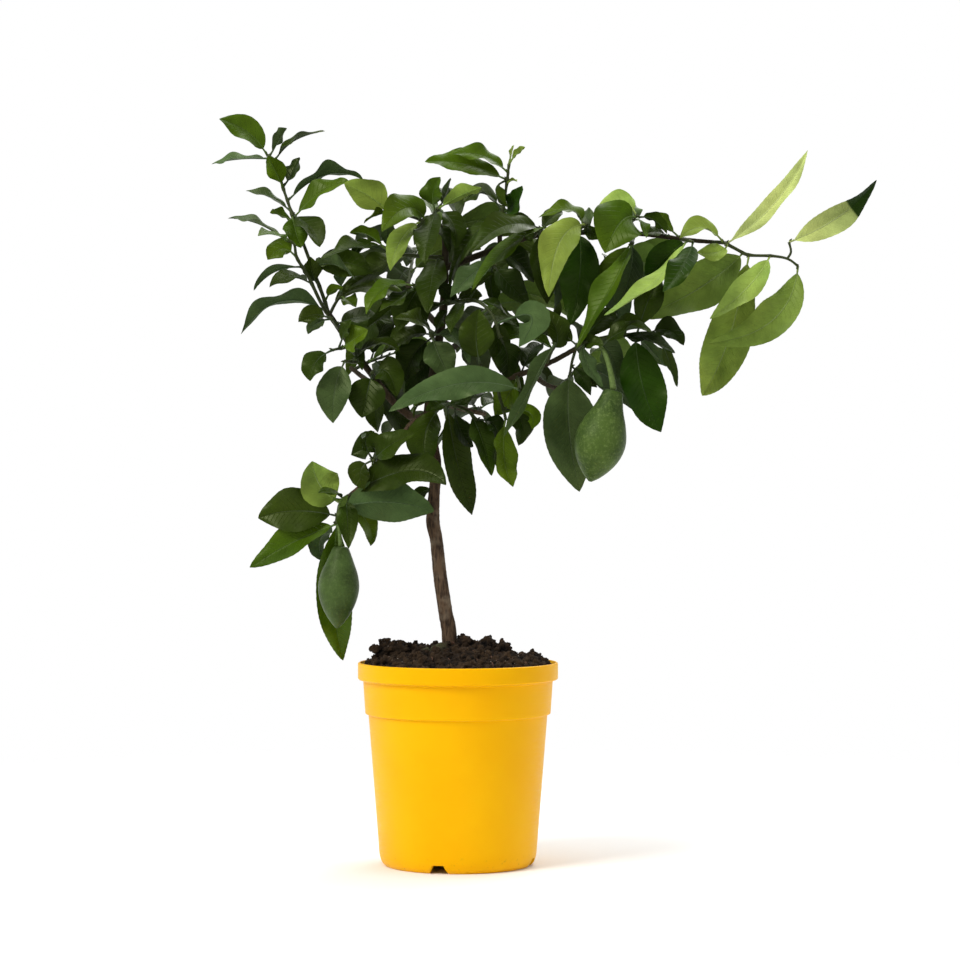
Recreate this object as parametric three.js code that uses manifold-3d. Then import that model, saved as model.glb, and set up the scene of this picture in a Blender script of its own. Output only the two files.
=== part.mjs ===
// A young lemon tree in a plastic nursery pot: pot, soil, trunk with its limbs, leafy sprays and two fruits.
// Millimetres, +Z up, front towards -Y. The origin is the middle of the pot's underside.
import * as THREE from 'three';
import { mergeVertices } from 'three/addons/utils/BufferGeometryUtils.js';
import Module from 'manifold-3d';

const wasm = await Module();
wasm.setup();

// ------------------------------------------------------------------ driving sizes

const GAP = 0.3; // clearance between pieces that touch
const SCRAP = 120; // volume under which a loose bit of a leaf is dropped

const POT = {
  rim: 100, // outer radius of the lip
  top: 202, // height of the lip
  lip: 17, // depth of the lip's outer face
  collar: 94.8, // outer radius under the lip
  collarFoot: 92.6, // outer radius at the collar's lower edge
  collarEnd: 151, // height of that edge
  body: 89.4, // outer radius just under the collar
  base: 78.4, // outer radius above the rounded foot
  foot: 71.5, // radius of the ring it stands on
  footRound: 10, // height over which the foot rounds off
  wall: 2.2,
  floor: 8.5, // height of the underside inside the foot ring
  pad: 17, // radius of the middle pad, which also touches the ground
  ridge: 1.4, // half the width of the ring it stands on
  tuck: 2.2, // how far the foot is drawn in where it starts to round off
  bevel: 1, // width of the slope at each edge
  segments: 32,
};
const NOTCH = { wide: 20, narrow: 11, high: 8.5, first: -14.3, count: 4, inner: 62, outer: 84 };

const SOIL = {
  edge: 198.5, // height where it meets the wall
  crown: 19, // rise from there to the middle
  fullness: 2.4, // how flat the dome stays before it falls to the edge
  radius: 97,
  shoulder: 3.5, // how far above the lip's foot it has widened to that radius
  rings: 4,
  crumb: 1.5, // height of the crumbs
  turn: 2.1, // radians between the way one clod's corners lie and the next
};
// Lumps and hollows of the soil: x, y, height, spread.
const SOIL_LUMPS = [
  [-16, 0, 6, 11],
  [16, 2, 6, 18],
  [-38, -10, -2, 9],
  [30, -52, -3, 10],
  [20, 48, 3, 18],
  [-50, 52, 3, 16],
];
// Clods that lie half sunk in it: the middle's x, y and z, then half their length, width and height.
const CLODS = [
  [-64, -2, 214, 22, 16, 11.5],
  [-38, -36, 209, 12, 11, 9],
  [7, -3, 220, 12, 11, 10],
  [30, -2, 218.5, 11, 10, 9],
  [45, -12, 215, 9, 9, 9],
  [72, -4, 205, 16, 12, 9],
  [12, -48, 210, 12, 10, 7],
  [-72, -38, 203, 11, 9, 7],
  [22, 46, 215, 14, 11, 8],
  [-44, 48, 211, 14, 12, 9],
];

const LEAF = {
  half: 0.5, // half the blade's thickness at the midrib
  petiole: 1.0, // radius of the leaf stalk
  stalk: 7, // length of the stalk that shows
  fold: 0.3, // how far the two halves rise from the midrib, in radians
  wave: 0.05, // height of the waved margin, as a share of the width
  tip: 0.5, // half width left at the tip
};

const TONES = {
  dark: '#26380f',
  mid: '#486414',
  fresh: '#6c8636',
  lime: '#90a84e',
  pale: '#aebc78',
  grey: '#66784a',
};

// ------------------------------------------------------------------ the front elevation

// The crown is drawn in front elevation, as an eye sees it from here. A point that the elevation shows at
// [x, z] lies on its sight line at depth y: 0 at the pot's axis, positive behind it.
const EYE = new THREE.Vector3(22, -2780, 384);
const ASIDE = 1; // the elevation's x is counted from a plumb line this far right of the pot's axis

function onSight([x, z, y = 0]) {
  const far = (y - EYE.y) / -EYE.y;
  return new THREE.Vector3(EYE.x + (x + ASIDE - EYE.x) * far, y, EYE.z + (z - EYE.z) * far);
}

// Wood: points [x, z, y, radius] from the soil or the parent limb outwards.
const TRUNK = [
  [-7, 152, 0, 8.4],
  [-9.5, 226, 0, 7.7],
  [-13.5, 252, -1, 7.2],
  [-19, 289, -2, 6.9],
  [-22.5, 323, -1, 6.4],
  [-26, 342, 0, 7],
  [-25, 369, 1, 5.8],
  [-23, 401, 2, 5.4],
  [-30, 444, 2, 5.8],
  [-24, 500, 0, 4.6],
  [-16, 552, -2, 4.2],
  [-14, 600, 0, 3.6],
  [-15, 630, 2, 3],
  [-27, 649, 4, 2.2],
];
const LIMBS = [
  // left, up to the three-way crotch
  [[-28, 436, 2, 4.4], [-50, 449, 3, 4], [-69, 466, 2, 3.7], [-98, 504, -4, 3.2], [-130, 550, -10, 2.6]],
  // low on the left, out to the hanging fruit
  [[-31, 450, 0, 3.8], [-48, 439, -12, 3.4], [-62, 419, -18, 3.1], [-80, 404, -22, 2.9], [-90, 385, -26, 2.7],
    [-112, 366, -32, 2.4]],
  // long, to the right
  [[-14, 596, 0, 3.6], [18, 608, 3, 3.3], [50, 620, 2, 3.1], [80, 629, -2, 2.9], [140, 632, -6, 2.7],
    [184, 630, -8, 2.4], [230, 624, -8, 2.2], [268, 621, -6, 1.9]],
  // low on the right, out to the tilted fruit
  [[-26, 468, 0, 3.6], [10, 476, -14, 3.2], [50, 486, -24, 2.9], [88, 500, -30, 2.6], [118, 516, -33, 2.3]],
  // up from the long limb
  [[41, 616, 2, 2.6], [41, 632, -2, 2.3], [43, 648, -4, 2]],
  // away from the viewer
  [[-22, 505, 0, 3.6], [-2, 520, 34, 3.1], [14, 540, 66, 2.6]],
  [[-18, 535, 0, 3.4], [-36, 556, 34, 3], [-52, 580, 62, 2.5]],
  [[-76, 476, 1, 3], [-92, 484, 34, 2.6], [-108, 496, 62, 2.2]],
  [[104, 630, -3, 2.6], [118, 612, 30, 2.4], [132, 594, 60, 2.1]],
  [[70, 493, -28, 2.6], [86, 480, 6, 2.4], [104, 474, 40, 2]],
  [[-30, 448, 0, 3.2], [-44, 446, 30, 2.7], [-56, 440, 56, 2.2]],
  [[-26, 466, 0, 3.2], [0, 456, 28, 2.7], [26, 450, 52, 2.2]],
];

// A fruit: where the elevation shows its neck and its lower tip, its depth, and its outline from the neck
// down as [share of the length, radius].
const FRUITS = {
  lemon_left: {
    neck: [-118.5, 317.5],
    tip: [-122, 236],
    depth: -34,
    outline: [[0, 4], [0.015, 7.6], [0.1, 10.8], [0.2, 14], [0.34, 18.3], [0.48, 20.3], [0.61, 19.2],
      [0.74, 15.8], [0.85, 11.2], [0.94, 6], [1, 1.4]],
  },
  lemon_right: {
    neck: [154.5, 474],
    tip: [131, 382.5],
    depth: -52,
    outline: [[0, 4], [0.015, 9.4], [0.08, 11.2], [0.2, 14.6], [0.34, 20.4], [0.48, 24.5], [0.6, 25],
      [0.73, 22], [0.84, 16.4], [0.94, 8.6], [1, 1.6]],
  },
};
const FRUIT_SIDES = 12;

// Sprays. Shoots are points [x, z, y] with the radius at the first and the last; a shoot starts on its limb.
// A leaf is the root, the middle and the tip of its midrib as the elevation shows them [x, z, x, z, x, z],
// its width, the turn of its upper face (0 towards the viewer, 90 up, 180 away), how far its tip reaches away
// from the viewer, its tone, and at times a twist towards the tip in degrees.
const SPRAYS = {
  spray_top_left: {
    shoots: [
      { radii: [2, 1.2], points: [[-130, 548, -10], [-138, 561, -16], [-151, 588, -24], [-162, 606, -30],
        [-165, 620, -33], [-173, 624, -35]] },
      { radii: [2.2, 1.1], points: [[-130, 548, -10], [-135, 565, -8], [-148, 600, -2], [-160, 632, 5],
        [-169, 656, 8], [-177, 680, 11], [-181, 700, 13], [-192, 709, 15]] },
      { radii: [1.8, 1.3], points: [[-130, 548, -10], [-124, 560, 0], [-118, 569, 8]] },
    ],
    leaves: [
      [-192, 709, -212, 732, -240, 744, 31, 32, -16, 'mid'],
      [-189, 708, -181, 723, -173, 736, 22, 112, 18, 'grey'],
      [-182, 706, -164, 724, -134, 731, 24, 76, 10, 'dark'],
      [-192, 700, -221, 705, -248, 699, 20, 64, 14, 'grey'],
      [-173, 676, -183, 692, -191, 708, 22, 160, -18, 'mid'],
      [-173, 678, -166, 692, -160, 707, 24, 46, -14, 'dark'],
      [-165, 665, -135, 689, -95, 688, 29, 108, 22, 'grey'],
      [-160, 648, -139, 671, -110, 683, 29, 48, -20, 'mid'],
      [-167, 652, -189, 667, -213, 673, 17, 60, -6, 'grey'],
      [-165, 642, -177, 649, -189, 651, 16, 126, 16, 'mid'],
      [-165, 650, -164, 634, -158, 616, 28, 18, -16, 'mid'],
      [-165, 650, -149, 636, -139, 618, 28, 26, -12, 'dark'],
      [-173, 624, -202, 641, -231, 645, 22, 76, -8, 'grey'],
      [-171, 623, -185, 630, -201, 627, 20, 58, -22, 'mid'],
      [-159, 606, -176, 615, -191, 604, 28, 34, -12, 'mid'],
      [-156, 597, -183, 593, -206, 574, 25, 98, 10, 'grey'],
      [-147, 580, -168, 587, -190, 579, 24, 58, -22, 'dark'],
      [-133, 552, -178, 563, -221, 532, 31, 112, -6, 'grey'],
      [-134, 562, -127, 573, -116, 576, 14, 140, -16, 'mid'],
      [-119, 568, -112, 564, -103, 557, 20, 40, -12, 'mid'],
      [-140, 578, -147, 591, -148, 607, 22, 28, -18, 'dark'],
      [-144, 590, -135, 598, -131, 610, 22, 30, -14, 'dark'],
      [-146, 597, -125, 600, -102, 587, 24, 116, -6, 'grey'],
    ],
  },
  spray_left: {
    shoots: [
      { radii: [1.8, 1.2], points: [[-119, 534, -7], [-124, 541, -20], [-128, 546, -30]] },
      { radii: [1.8, 1.2], points: [[-108, 518, -6], [-116, 516, -20], [-122, 515, -32], [-126, 514, -40]] },
      { radii: [1.8, 1.2], points: [[-97, 502, -4], [-106, 502, -18], [-114, 503, -30]] },
      { radii: [1.8, 1.2], points: [[-84, 486, 0], [-86, 490, -14], [-87, 492, -26]] },
    ],
    leaves: [
      [-127, 545, -145, 549, -161, 543, 22, 34, -8, 'dark'],
      [-127, 545, -142, 541, -151, 530, 16, 150, -20, 'grey'],
      [-126, 514, -143, 502, -149, 483, 27, 26, -8, 'mid'],
      [-114, 503, -124, 475, -126, 441, 36, 8, -10, 'grey'],
      [-87, 491, -92, 470, -97, 446, 40, 4, -10, 'dark'],
      [-87, 491, -84, 460, -83, 431, 24, -30, 14, 'mid'],
      [-118, 516, -106, 524, -91, 534, 30, 30, -18, 'mid'],
      [-108, 502, -82, 520, -60, 512, 24, 66, -20, 'dark'],
      [-87, 491, -72, 492, -62, 468, 32, 26, 8, 'mid'],
      [-85, 487, -66, 460, -58, 428, 32, 22, 20, 'dark'],
      [-122, 540, -96, 546, -66, 540, 28, 56, 6, 'dark'],
    ],
  },
  spray_centre_left: {
    shoots: [
      { radii: [2, 1.3], points: [[-15, 586, 0], [-30, 580, -22], [-44, 578, -40]] },
      { radii: [2.2, 1.3], points: [[-14, 606, 0], [-40, 608, -14], [-58, 610, -22], [-72, 613, -28]] },
      { radii: [2, 1.2], points: [[-15, 628, 2], [-30, 640, -10], [-50, 648, -18], [-70, 651, -22]] },
    ],
    leaves: [
      [-70, 612, -103, 617, -137, 603, 30, 64, -6, 'dark'],
      [-68, 651, -90, 668, -115, 680, 35, 155, -8, 'fresh'],
      [-30, 642, -52, 656, -77, 632, 36, 24, -22, 'mid'],
      [-38, 643, -58, 624, -69, 594, 24, 20, -30, 'fresh'],
      [-64, 649, -71, 637, -72, 619, 15, 152, -12, 'grey'],
      [-72, 613, -90, 629, -109, 632, 19, 126, 6, 'mid'],
      [-70, 651, -83, 649, -96, 641, 16, 112, 10, 'grey'],
      [-72, 613, -97, 618, -105, 603, 14, 140, 16, 'mid'],
      [-48, 608, -80, 595, -114, 574, 34, 44, -18, 'dark'],
      [-46, 579, -74, 576, -93, 550, 26, 52, -16, 'mid'],
      [-44, 578, -58, 566, -80, 553, 28, 58, -30, 'grey'],
      [-38, 580, -50, 560, -62, 532, 30, 20, -24, 'mid'],
      [-30, 580, -36, 562, -32, 540, 24, 30, -22, 'grey'],
      [-44, 578, -72, 552, -92, 540, 22, 128, -6, 'grey'],
      [-20, 607, -27, 584, -31, 550, 32, 18, -30, 'mid'],
    ],
  },
  spray_top_centre: {
    shoots: [
      { radii: [1.8, 1.1], points: [[-26, 647, 4], [-24, 652, -2], [-20, 656, -8]] },
    ],
    leaves: [
      [-24, 653, -26, 670, -19, 687, 26, 30, -12, 'mid'],
      [-20, 656, -13, 670, -8, 686, 18, 62, 8, 'dark'],
      [-20, 655, 2, 669, 23, 677, 21, 140, -10, 'fresh'],
      [-21, 655, -6, 640, -2, 616, 26, 34, -18, 'mid'],
      [-22, 654, -30, 630, -34, 600, 28, 20, -34, 'dark'],
    ],
  },
  spray_top_right: {
    shoots: [
      { radii: [2, 1.1], points: [[43, 646, -4], [45, 662, -8], [48, 682, -11], [50, 700, -14]] },
    ],
    leaves: [
      [48, 684, 4, 700, -34, 701, 28, 32, -14, 'mid'],
      [49, 691, 24, 708, -7, 709, 25, 46, 14, 'mid'],
      [50, 699, 57, 710, 66, 717, 10, 130, 4, 'fresh'],
      [50, 699, 52, 710, 55, 719, 7, 60, -6, 'fresh'],
      [48, 684, 37, 673, 50, 657, 18, 116, -16, 'grey'],
      [48, 680, 53, 684, 58, 682, 8, 120, -12, 'fresh'],
      [44, 652, 55, 660, 62, 678, 26, 36, -16, 'dark'],
      [44, 652, 24, 671, 3, 660, 27, 58, -14, 'mid'],
      [44, 655, 8, 620, -12, 578, 22, 48, -30, 'mid'],
      [44, 652, 60, 640, 72, 622, 26, 30, -24, 'mid'],
    ],
  },
  spray_right_inner: {
    shoots: [
      { radii: [2, 1.3], points: [[74, 627, -1], [80, 634, -16], [86, 637, -30]] },
      { radii: [2, 1.3], points: [[118, 631, -4], [122, 636, -18], [128, 640, -34]] },
      { radii: [1.8, 1.3], points: [[36, 615, 2], [36, 606, -12], [34, 598, -24]] },
    ],
    leaves: [
      [82, 635, 46, 638, 12, 611, 31, 28, -16, 'dark'],
      [86, 637, 46, 614, 15, 573, 24, 48, -34, 'fresh'],
      [127, 640, 101, 622, 90, 567, 38, 16, -20, 'fresh'],
      [124, 637, 112, 654, 79, 648, 24, 58, 6, 'mid'],
      [121, 633, 121, 590, 111, 538, 41, 8, -6, 'dark'],
      [34, 599, 14, 590, -8, 566, 26, 30, -12, 'grey'],
      [34, 599, 50, 580, 70, 560, 30, 24, -12, 'mid'],
      [34, 599, 32, 580, 36, 558, 18, 150, -26, 'mid'],
      [80, 633, 84, 600, 88, 560, 30, 16, 12, 'dark'],
      [36, 612, 56, 604, 76, 582, 28, 30, 22, 'dark'],
    ],
  },
  spray_right_outer: {
    shoots: [
      { radii: [1.9, 1.3], points: [[160, 631, -7], [168, 640, -20], [178, 646, -32]] },
      { radii: [1.9, 1.3], points: [[176, 630, -8], [174, 624, -22], [173, 620, -36]] },
      { radii: [1.9, 1.3], points: [[222, 625, -8], [228, 624, -22], [234, 622, -34]] },
      { radii: [1.7, 1.2], points: [[252, 622, -7], [262, 622, -14], [268, 620, -20]] },
    ],
    leaves: [
      [178, 646, 162, 642, 146, 611, 56, 12, -14, 'mid'],
      [178, 646, 163, 663, 138, 655, 22, 30, 12, 'lime'],
      [172, 621, 151, 574, 115, 519, 34, 52, -14, 'dark'],
      [172, 622, 150, 590, 138, 556, 26, 20, 14, 'mid'],
      [174, 621, 171, 590, 157, 553, 34, 14, 4, 'grey'],
      [228, 624, 192, 579, 145, 550, 25, 54, -26, 'lime'],
      [230, 623, 206, 606, 185, 578, 30, 18, 6, 'dark'],
      [234, 622, 224, 598, 204, 572, 28, 24, -6, 'dark'],
      [210, 627, 205, 642, 199, 652, 15, 30, -6, 'mid'],
      [184, 645, 194, 645, 208, 630, 20, 120, 4, 'grey'],
      [265, 622, 244, 636, 220, 627, 27, 52, -8, 'fresh'],
      [268, 620, 260, 612, 237, 611, 24, 36, 12, 'fresh'],
    ],
  },
  spray_right_tip: {
    shoots: [
      { radii: [1.8, 1.2], points: [[266, 621, -6], [279, 614, -5], [290, 609, -4], [314, 608, 0],
        [329, 605, 2], [339, 598, 4]] },
      { radii: [1.3, 1.1], points: [[328, 605, 2], [332, 612, 1], [330, 622, 0]] },
    ],
    leaves: [
      [267, 620, 315, 660, 349, 713, 21, 28, 14, 'pale'],
      [330, 622, 376, 645, 420, 682, 28, 24, -10, 'pale', 70],
      [311, 608, 289, 577, 251, 545, 28, 18, -24, 'lime'],
      [339, 598, 314, 544, 250, 521, 39, 14, -16, 'fresh'],
      [290, 609, 268, 520, 241, 467, 48, 8, 20, 'fresh'],
      [284, 611, 244, 578, 181, 545, 50, 14, -10, 'fresh'],
    ],
  },
  spray_right_low: {
    shoots: [
      { radii: [2.4, 1.6], points: [[116, 515, -33], [126, 522, -40], [140, 525, -44]] },
      { radii: [2, 1.3], points: [[138, 525, -43], [156, 528, -36], [178, 530, -30], [200, 528, -26]] },
      { radii: [2, 3.4], points: [[138, 524, -43], [147, 508, -48], [152, 490, -51], [154.5, 474, -52]] },
      { radii: [1.6, 1.2], points: [[117, 516, -33], [113, 502, -28], [111, 490, -22]] },
    ],
    leaves: [
      [111, 490, 110, 436, 121, 372, 57, 4, 4, 'dark'],
      [176, 530, 184, 476, 202, 432, 46, 8, -6, 'mid'],
      [134, 524, 150, 512, 158, 485, 28, 20, 16, 'grey'],
      [126, 520, 128, 500, 144, 477, 18, 30, -20, 'grey'],
      [188, 529, 208, 534, 225, 519, 26, 36, -8, 'dark'],
      [200, 528, 210, 502, 218, 477, 15, 40, 8, 'mid'],
      [160, 528, 188, 524, 216, 511, 24, 52, -18, 'dark'],
      [178, 529, 194, 512, 207, 497, 18, 150, 14, 'grey'],
      [150, 527, 160, 540, 186, 541, 24, 120, 8, 'grey'],
    ],
  },
  spray_centre: {
    shoots: [
      { radii: [2.2, 1.4], points: [[-14, 560, -2], [4, 563, -22], [20, 562, -34], [34, 548, -44],
        [41, 526, -50]] },
      { radii: [2, 1.4], points: [[-22, 512, 0], [-26, 526, -18], [-28, 530, -32]] },
      { radii: [1.8, 1.3], points: [[22, 479, -17], [22, 490, -34], [21, 500, -46]] },
      { radii: [1.8, 1.3], points: [[58, 488, -25], [60, 480, -40], [61, 474, -52]] },
      { radii: [1.8, 1.3], points: [[88, 500, -30], [92, 512, -42], [96, 521, -50]] },
    ],
    leaves: [
      [61, 474, 0, 480, -71, 454, 34, 22, -10, 'dark'],
      [-28, 528, -20, 508, -8, 485, 34, 10, -10, 'grey'],
      [-28, 528, -4, 526, 10, 500, 20, 40, -20, 'grey'],
      [-28, 529, -50, 528, -78, 512, 28, 44, -8, 'dark'],
      [-27, 526, -46, 508, -54, 482, 32, 22, 8, 'dark'],
      [-27, 528, -38, 542, -62, 548, 24, 40, -22, 'mid'],
      [21, 500, 17, 527, 20, 555, 37, 4, 6, 'dark'],
      [38, 540, 72, 548, 60, 517, 34, 150, -16, 'grey'],
      [96, 521, 72, 478, 47, 426, 25, 124, -24, 'grey'],
      [41, 527, 48, 508, 46, 486, 30, 24, 14, 'dark'],
      [92, 512, 98, 530, 84, 556, 28, 30, 6, 'dark'],
      [10, 563, 20, 580, 36, 590, 20, 110, -16, 'mid'],
      [8, 563, -2, 552, -8, 530, 20, 36, -20, 'mid'],
      [58, 487, 50, 470, 36, 448, 30, 20, 24, 'dark'],
      [22, 482, 10, 470, -10, 458, 26, 50, 22, 'dark'],
    ],
  },
  spray_hanging: {
    shoots: [
      { radii: [2, 1.3], points: [[-28, 450, 2], [-16, 458, -12], [-6, 459, -22], [10, 452, -30],
        [18, 444, -34]] },
      { radii: [1.8, 1.2], points: [[40, 483, -21], [40, 470, -32], [44, 456, -38], [47, 444, -42]] },
    ],
    leaves: [
      [11, 451, 23, 424, 32, 388, 26, 26, -12, 'grey'],
      [18, 444, 36, 438, 38, 414, 22, 38, 12, 'dark'],
      [47, 446, 45, 406, 54, 377, 28, 30, -6, 'mid'],
      [45, 455, 62, 444, 60, 418, 26, 24, 8, 'dark'],
      [-4, 459, 2, 432, 15, 418, 22, 36, 8, 'dark'],
      [-12, 459, -1, 398, 15, 349, 32, 18, -22, 'grey'],
      [-18, 457, -34, 428, -30, 394, 36, 16, -22, 'grey'],
      [46, 452, 70, 452, 73, 435, 20, 140, -8, 'grey'],
      [-8, 459, -36, 462, -44, 446, 16, 110, -20, 'grey'],
      [-4, 459, 18, 468, 42, 462, 26, 58, 14, 'dark'],
    ],
  },
  spray_lower_left: {
    shoots: [
      { radii: [2.2, 1.6], points: [[-110, 368, -32], [-118, 360, -34], [-121, 350, -35], [-122, 340, -35]] },
      { radii: [1.6, 2.2], points: [[-122, 346, -35], [-119.5, 332, -34], [-118.5, 317, -34]] },
      { radii: [1.7, 1.2], points: [[-84, 396, -24], [-84, 402, -40], [-86, 404, -50]] },
    ],
    leaves: [
      [-118, 361, -138, 377, -147, 403, 44, 10, -12, 'fresh'],
      [-114, 364, -127, 372, -141, 370, 14, 50, -24, 'mid'],
      [-122, 348, -164, 353, -201, 346, 46, 8, -8, 'dark'],
      [-122, 340, -165, 322, -210, 297, 34, 50, -12, 'mid', -40],
      [-122, 341, -139, 324, -135, 303, 26, 148, 14, 'grey'],
      [-118, 356, -72, 362, -25, 353, 48, 165, -14, 'grey'],
      [-117, 361, -92, 342, -88, 317, 20, 20, 14, 'mid'],
      [-121, 344, -125, 266, -116, 204, 38, 6, 30, 'mid'],
      [-96, 378, -52, 393, -13, 378, 40, 26, -6, 'dark'],
      [-85, 403, -94, 422, -84, 432, 22, 100, -8, 'mid'],
      [-84, 401, -86, 416, -108, 409, 34, 22, -22, 'mid'],
      [-85, 402, -70, 418, -44, 430, 30, 30, -8, 'mid'],
      [-86, 403, -98, 394, -95, 375, 26, 20, 6, 'mid'],
      [-84, 399, -84, 380, -69, 380, 14, 40, -14, 'mid'],
    ],
  },
};

// Sprays that the front leaves hide, grown by rule: the point [x, z, y] they leave their limb at, the way
// they head as [east, north, up], their length, their number of leaves, and how far the leaves' upper faces
// look to the back.
const HIDDEN_SPRAYS = {
  spray_back_middle: [
    { from: [13, 538, 64], heading: [0.35, 0.75, 0.5], length: 80, leaves: 6, look: 0.7 },
    { from: [2, 526, 42], heading: [0.7, 0.45, -0.2], length: 58, leaves: 4, look: -0.6 },
  ],
  spray_back_left: [
    { from: [-51, 578, 60], heading: [0.05, 0.7, 0.5], length: 76, leaves: 6, look: 0.7 },
    { from: [-40, 562, 42], heading: [-0.6, 0.5, 0.1], length: 52, leaves: 4, look: -0.5 },
  ],
  spray_back_far_left: [
    { from: [-106, 494, 60], heading: [0.45, 0.6, 0.3], length: 62, leaves: 5, look: 0.5 },
  ],
  spray_back_low_left: [
    { from: [-55, 441, 54], heading: [0.1, 0.5, 0.25], length: 48, leaves: 4, look: -0.4 },
  ],
  spray_back_low: [
    { from: [25, 450, 50], heading: [-0.1, 0.5, 0.15], length: 48, leaves: 4, look: -0.4 },
  ],
  spray_back_right: [
    { from: [130, 596, 57], heading: [0.4, 0.6, 0.1], length: 72, leaves: 6, look: 0.6 },
    { from: [120, 610, 34], heading: [-0.6, 0.7, -0.2], length: 50, leaves: 4, look: -0.6 },
  ],
  spray_back_low_right: [
    { from: [102, 475, 37], heading: [0.35, 0.5, 0.5], length: 62, leaves: 5, look: 0.5 },
  ],
  spray_back_top: [
    { from: [-16, 632, 2], heading: [0.35, 0.8, 0.3], length: 56, leaves: 5, look: 0.6 },
  ],
};
const GROWTH = {
  seed: 2207,
  turn: 2.4, // radians between one leaf and the next, round the shoot
  lean: 0.95, // how far a leaf leans out from its shoot, in radians
  hang: 0.3, // how far a leaf hangs from the way it would grow
  droop: 0.24, // sag of the midrib as a share of its length
  longest: 88,
  shortest: 58,
  slender: 0.43, // width as a share of the length
  radii: [2, 1.1],
  step: 26, // length of one joint of the shoot
  sag: 6, // drop of the shoot's end
  stray: 1.6, // spread of the angle round the shoot, in radians
  sway: 0.4, // spread of the lean
  lastLean: 0.2, // lean of the leaf that ends the shoot
  level: 0.7, // how much of the rise out of the shoot a leaf keeps
  roll: 0.5, // spread of the way the upper face looks, and of the twist
  stations: [0, 0.3, 0.68, 1],
};
const CLEAR = 6.5; // distance that leaves keep from each other, between sample points
const STEPS_ASIDE = [0, -8, 8, -16, 16, -24, 24, -32, 32, -42, 42]; // tried in turn until a leaf is clear
const TRIES = 36; // directions tried for a leaf grown by rule; it isn't grown when none is clear

// ------------------------------------------------------------------ solids

function solidOf(geometry) {
  const bare = geometry.clone();
  bare.deleteAttribute('normal');
  bare.deleteAttribute('uv');
  const merged = mergeVertices(bare, 1e-4);
  const vertProperties = merged.attributes.position.array;
  const triVerts = new Uint32Array(merged.index.array);
  return new wasm.Manifold(new wasm.Mesh({ numProp: 3, vertProperties, triVerts }));
}

function geometryOf(solid) {
  const { vertProperties, triVerts } = solid.getMesh();
  const geometry = new THREE.BufferGeometry();
  geometry.setAttribute('position', new THREE.BufferAttribute(vertProperties, 3));
  geometry.setIndex(new THREE.BufferAttribute(triVerts, 1));
  geometry.computeVertexNormals();
  return geometry;
}

const joined = (solids) => solids.reduce((sum, solid) => sum.add(solid));

// A closed skin over rings of equal length, each a list of points in order round it, with flat ends. The
// sides listed in turned have their squares split along the other diagonal.
function skin(rings, turned = []) {
  const points = rings.flat();
  const size = rings[0].length;
  const index = [];
  for (let ring = 0; ring < rings.length - 1; ring++) {
    for (let i = 0; i < size; i++) {
      const a = ring * size + i;
      const b = ring * size + ((i + 1) % size);
      if (turned.includes(i)) {
        index.push(a, b, a + size, b, b + size, a + size);
      } else {
        index.push(a, b, b + size, a, b + size, a + size);
      }
    }
  }
  const last = (rings.length - 1) * size;
  for (let i = 1; i < size - 1; i++) {
    index.push(0, i + 1, i, last, last + i, last + i + 1);
  }
  const geometry = new THREE.BufferGeometry().setFromPoints(points);
  geometry.setIndex(index);
  return geometry;
}

// The axis that a stem runs along least.
function flattestAxis(points) {
  const chord = points.at(-1).clone().sub(points[0]).toArray().map(Math.abs);
  return new THREE.Vector3().setComponent(chord.indexOf(Math.min(...chord)), 1);
}

// A tapered stem with a ring of points at each joint.
function stem(points, radii, sides) {
  const level = flattestAxis(points);
  const rings = points.map((point, i) => {
    const along = new THREE.Vector3().subVectors(
      points[Math.min(i + 1, points.length - 1)],
      points[Math.max(i - 1, 0)],
    ).normalize();
    const aside = new THREE.Vector3().crossVectors(level, along).normalize();
    const up = new THREE.Vector3().crossVectors(along, aside);
    return Array.from({ length: sides }, (_, k) => {
      const angle = (2 * Math.PI * k) / sides;
      return point.clone()
        .addScaledVector(aside, radii[i] * Math.cos(angle))
        .addScaledVector(up, radii[i] * Math.sin(angle));
    });
  });
  return solidOf(skin(rings));
}

function woodOf(points, sides, extra) {
  return stem(points.map(onSight), points.map((p) => p[3] + extra), sides);
}

function wood(extra = 0) {
  return joined([woodOf(TRUNK, 8, extra), ...LIMBS.map((limb) => woodOf(limb, 5, extra))]);
}

// ------------------------------------------------------------------ pot and soil

function potOutline() {
  const { rim, top, lip, collar, collarFoot, collarEnd, body, base, foot, footRound, wall, floor, pad } = POT;
  const { ridge, tuck, bevel } = POT;
  return [
    [0, 0], [pad, 0], [pad + bevel, floor], [foot - 2 * ridge, floor], [foot - ridge, 0], [foot + ridge, 0],
    [base - tuck, footRound / 3], [base, footRound], [body, collarEnd - bevel], [collarFoot, collarEnd],
    [collar, top - lip - bevel], [rim - bevel, top - lip], [rim, top - lip + bevel], [rim, top - bevel],
    [rim - bevel, top], [rim - wall, top], [rim - wall, top - lip + wall], [collar - wall, top - lip],
    [body - wall, collarEnd], [base - wall, floor + wall], [0, floor + wall],
  ];
}

function notches() {
  const outline = new THREE.Shape([
    new THREE.Vector2(-NOTCH.wide / 2, -1),
    new THREE.Vector2(NOTCH.wide / 2, -1),
    new THREE.Vector2(NOTCH.narrow / 2, NOTCH.high),
    new THREE.Vector2(-NOTCH.narrow / 2, NOTCH.high),
  ]);
  const depth = NOTCH.outer - NOTCH.inner;
  return Array.from({ length: NOTCH.count }, (_, i) => {
    const geometry = new THREE.ExtrudeGeometry(outline, { depth, bevelEnabled: false });
    geometry.rotateX(Math.PI / 2);
    geometry.translate(0, -NOTCH.inner, 0);
    geometry.rotateZ(THREE.MathUtils.degToRad(NOTCH.first) + (2 * Math.PI * i) / NOTCH.count);
    return solidOf(geometry);
  });
}

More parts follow.
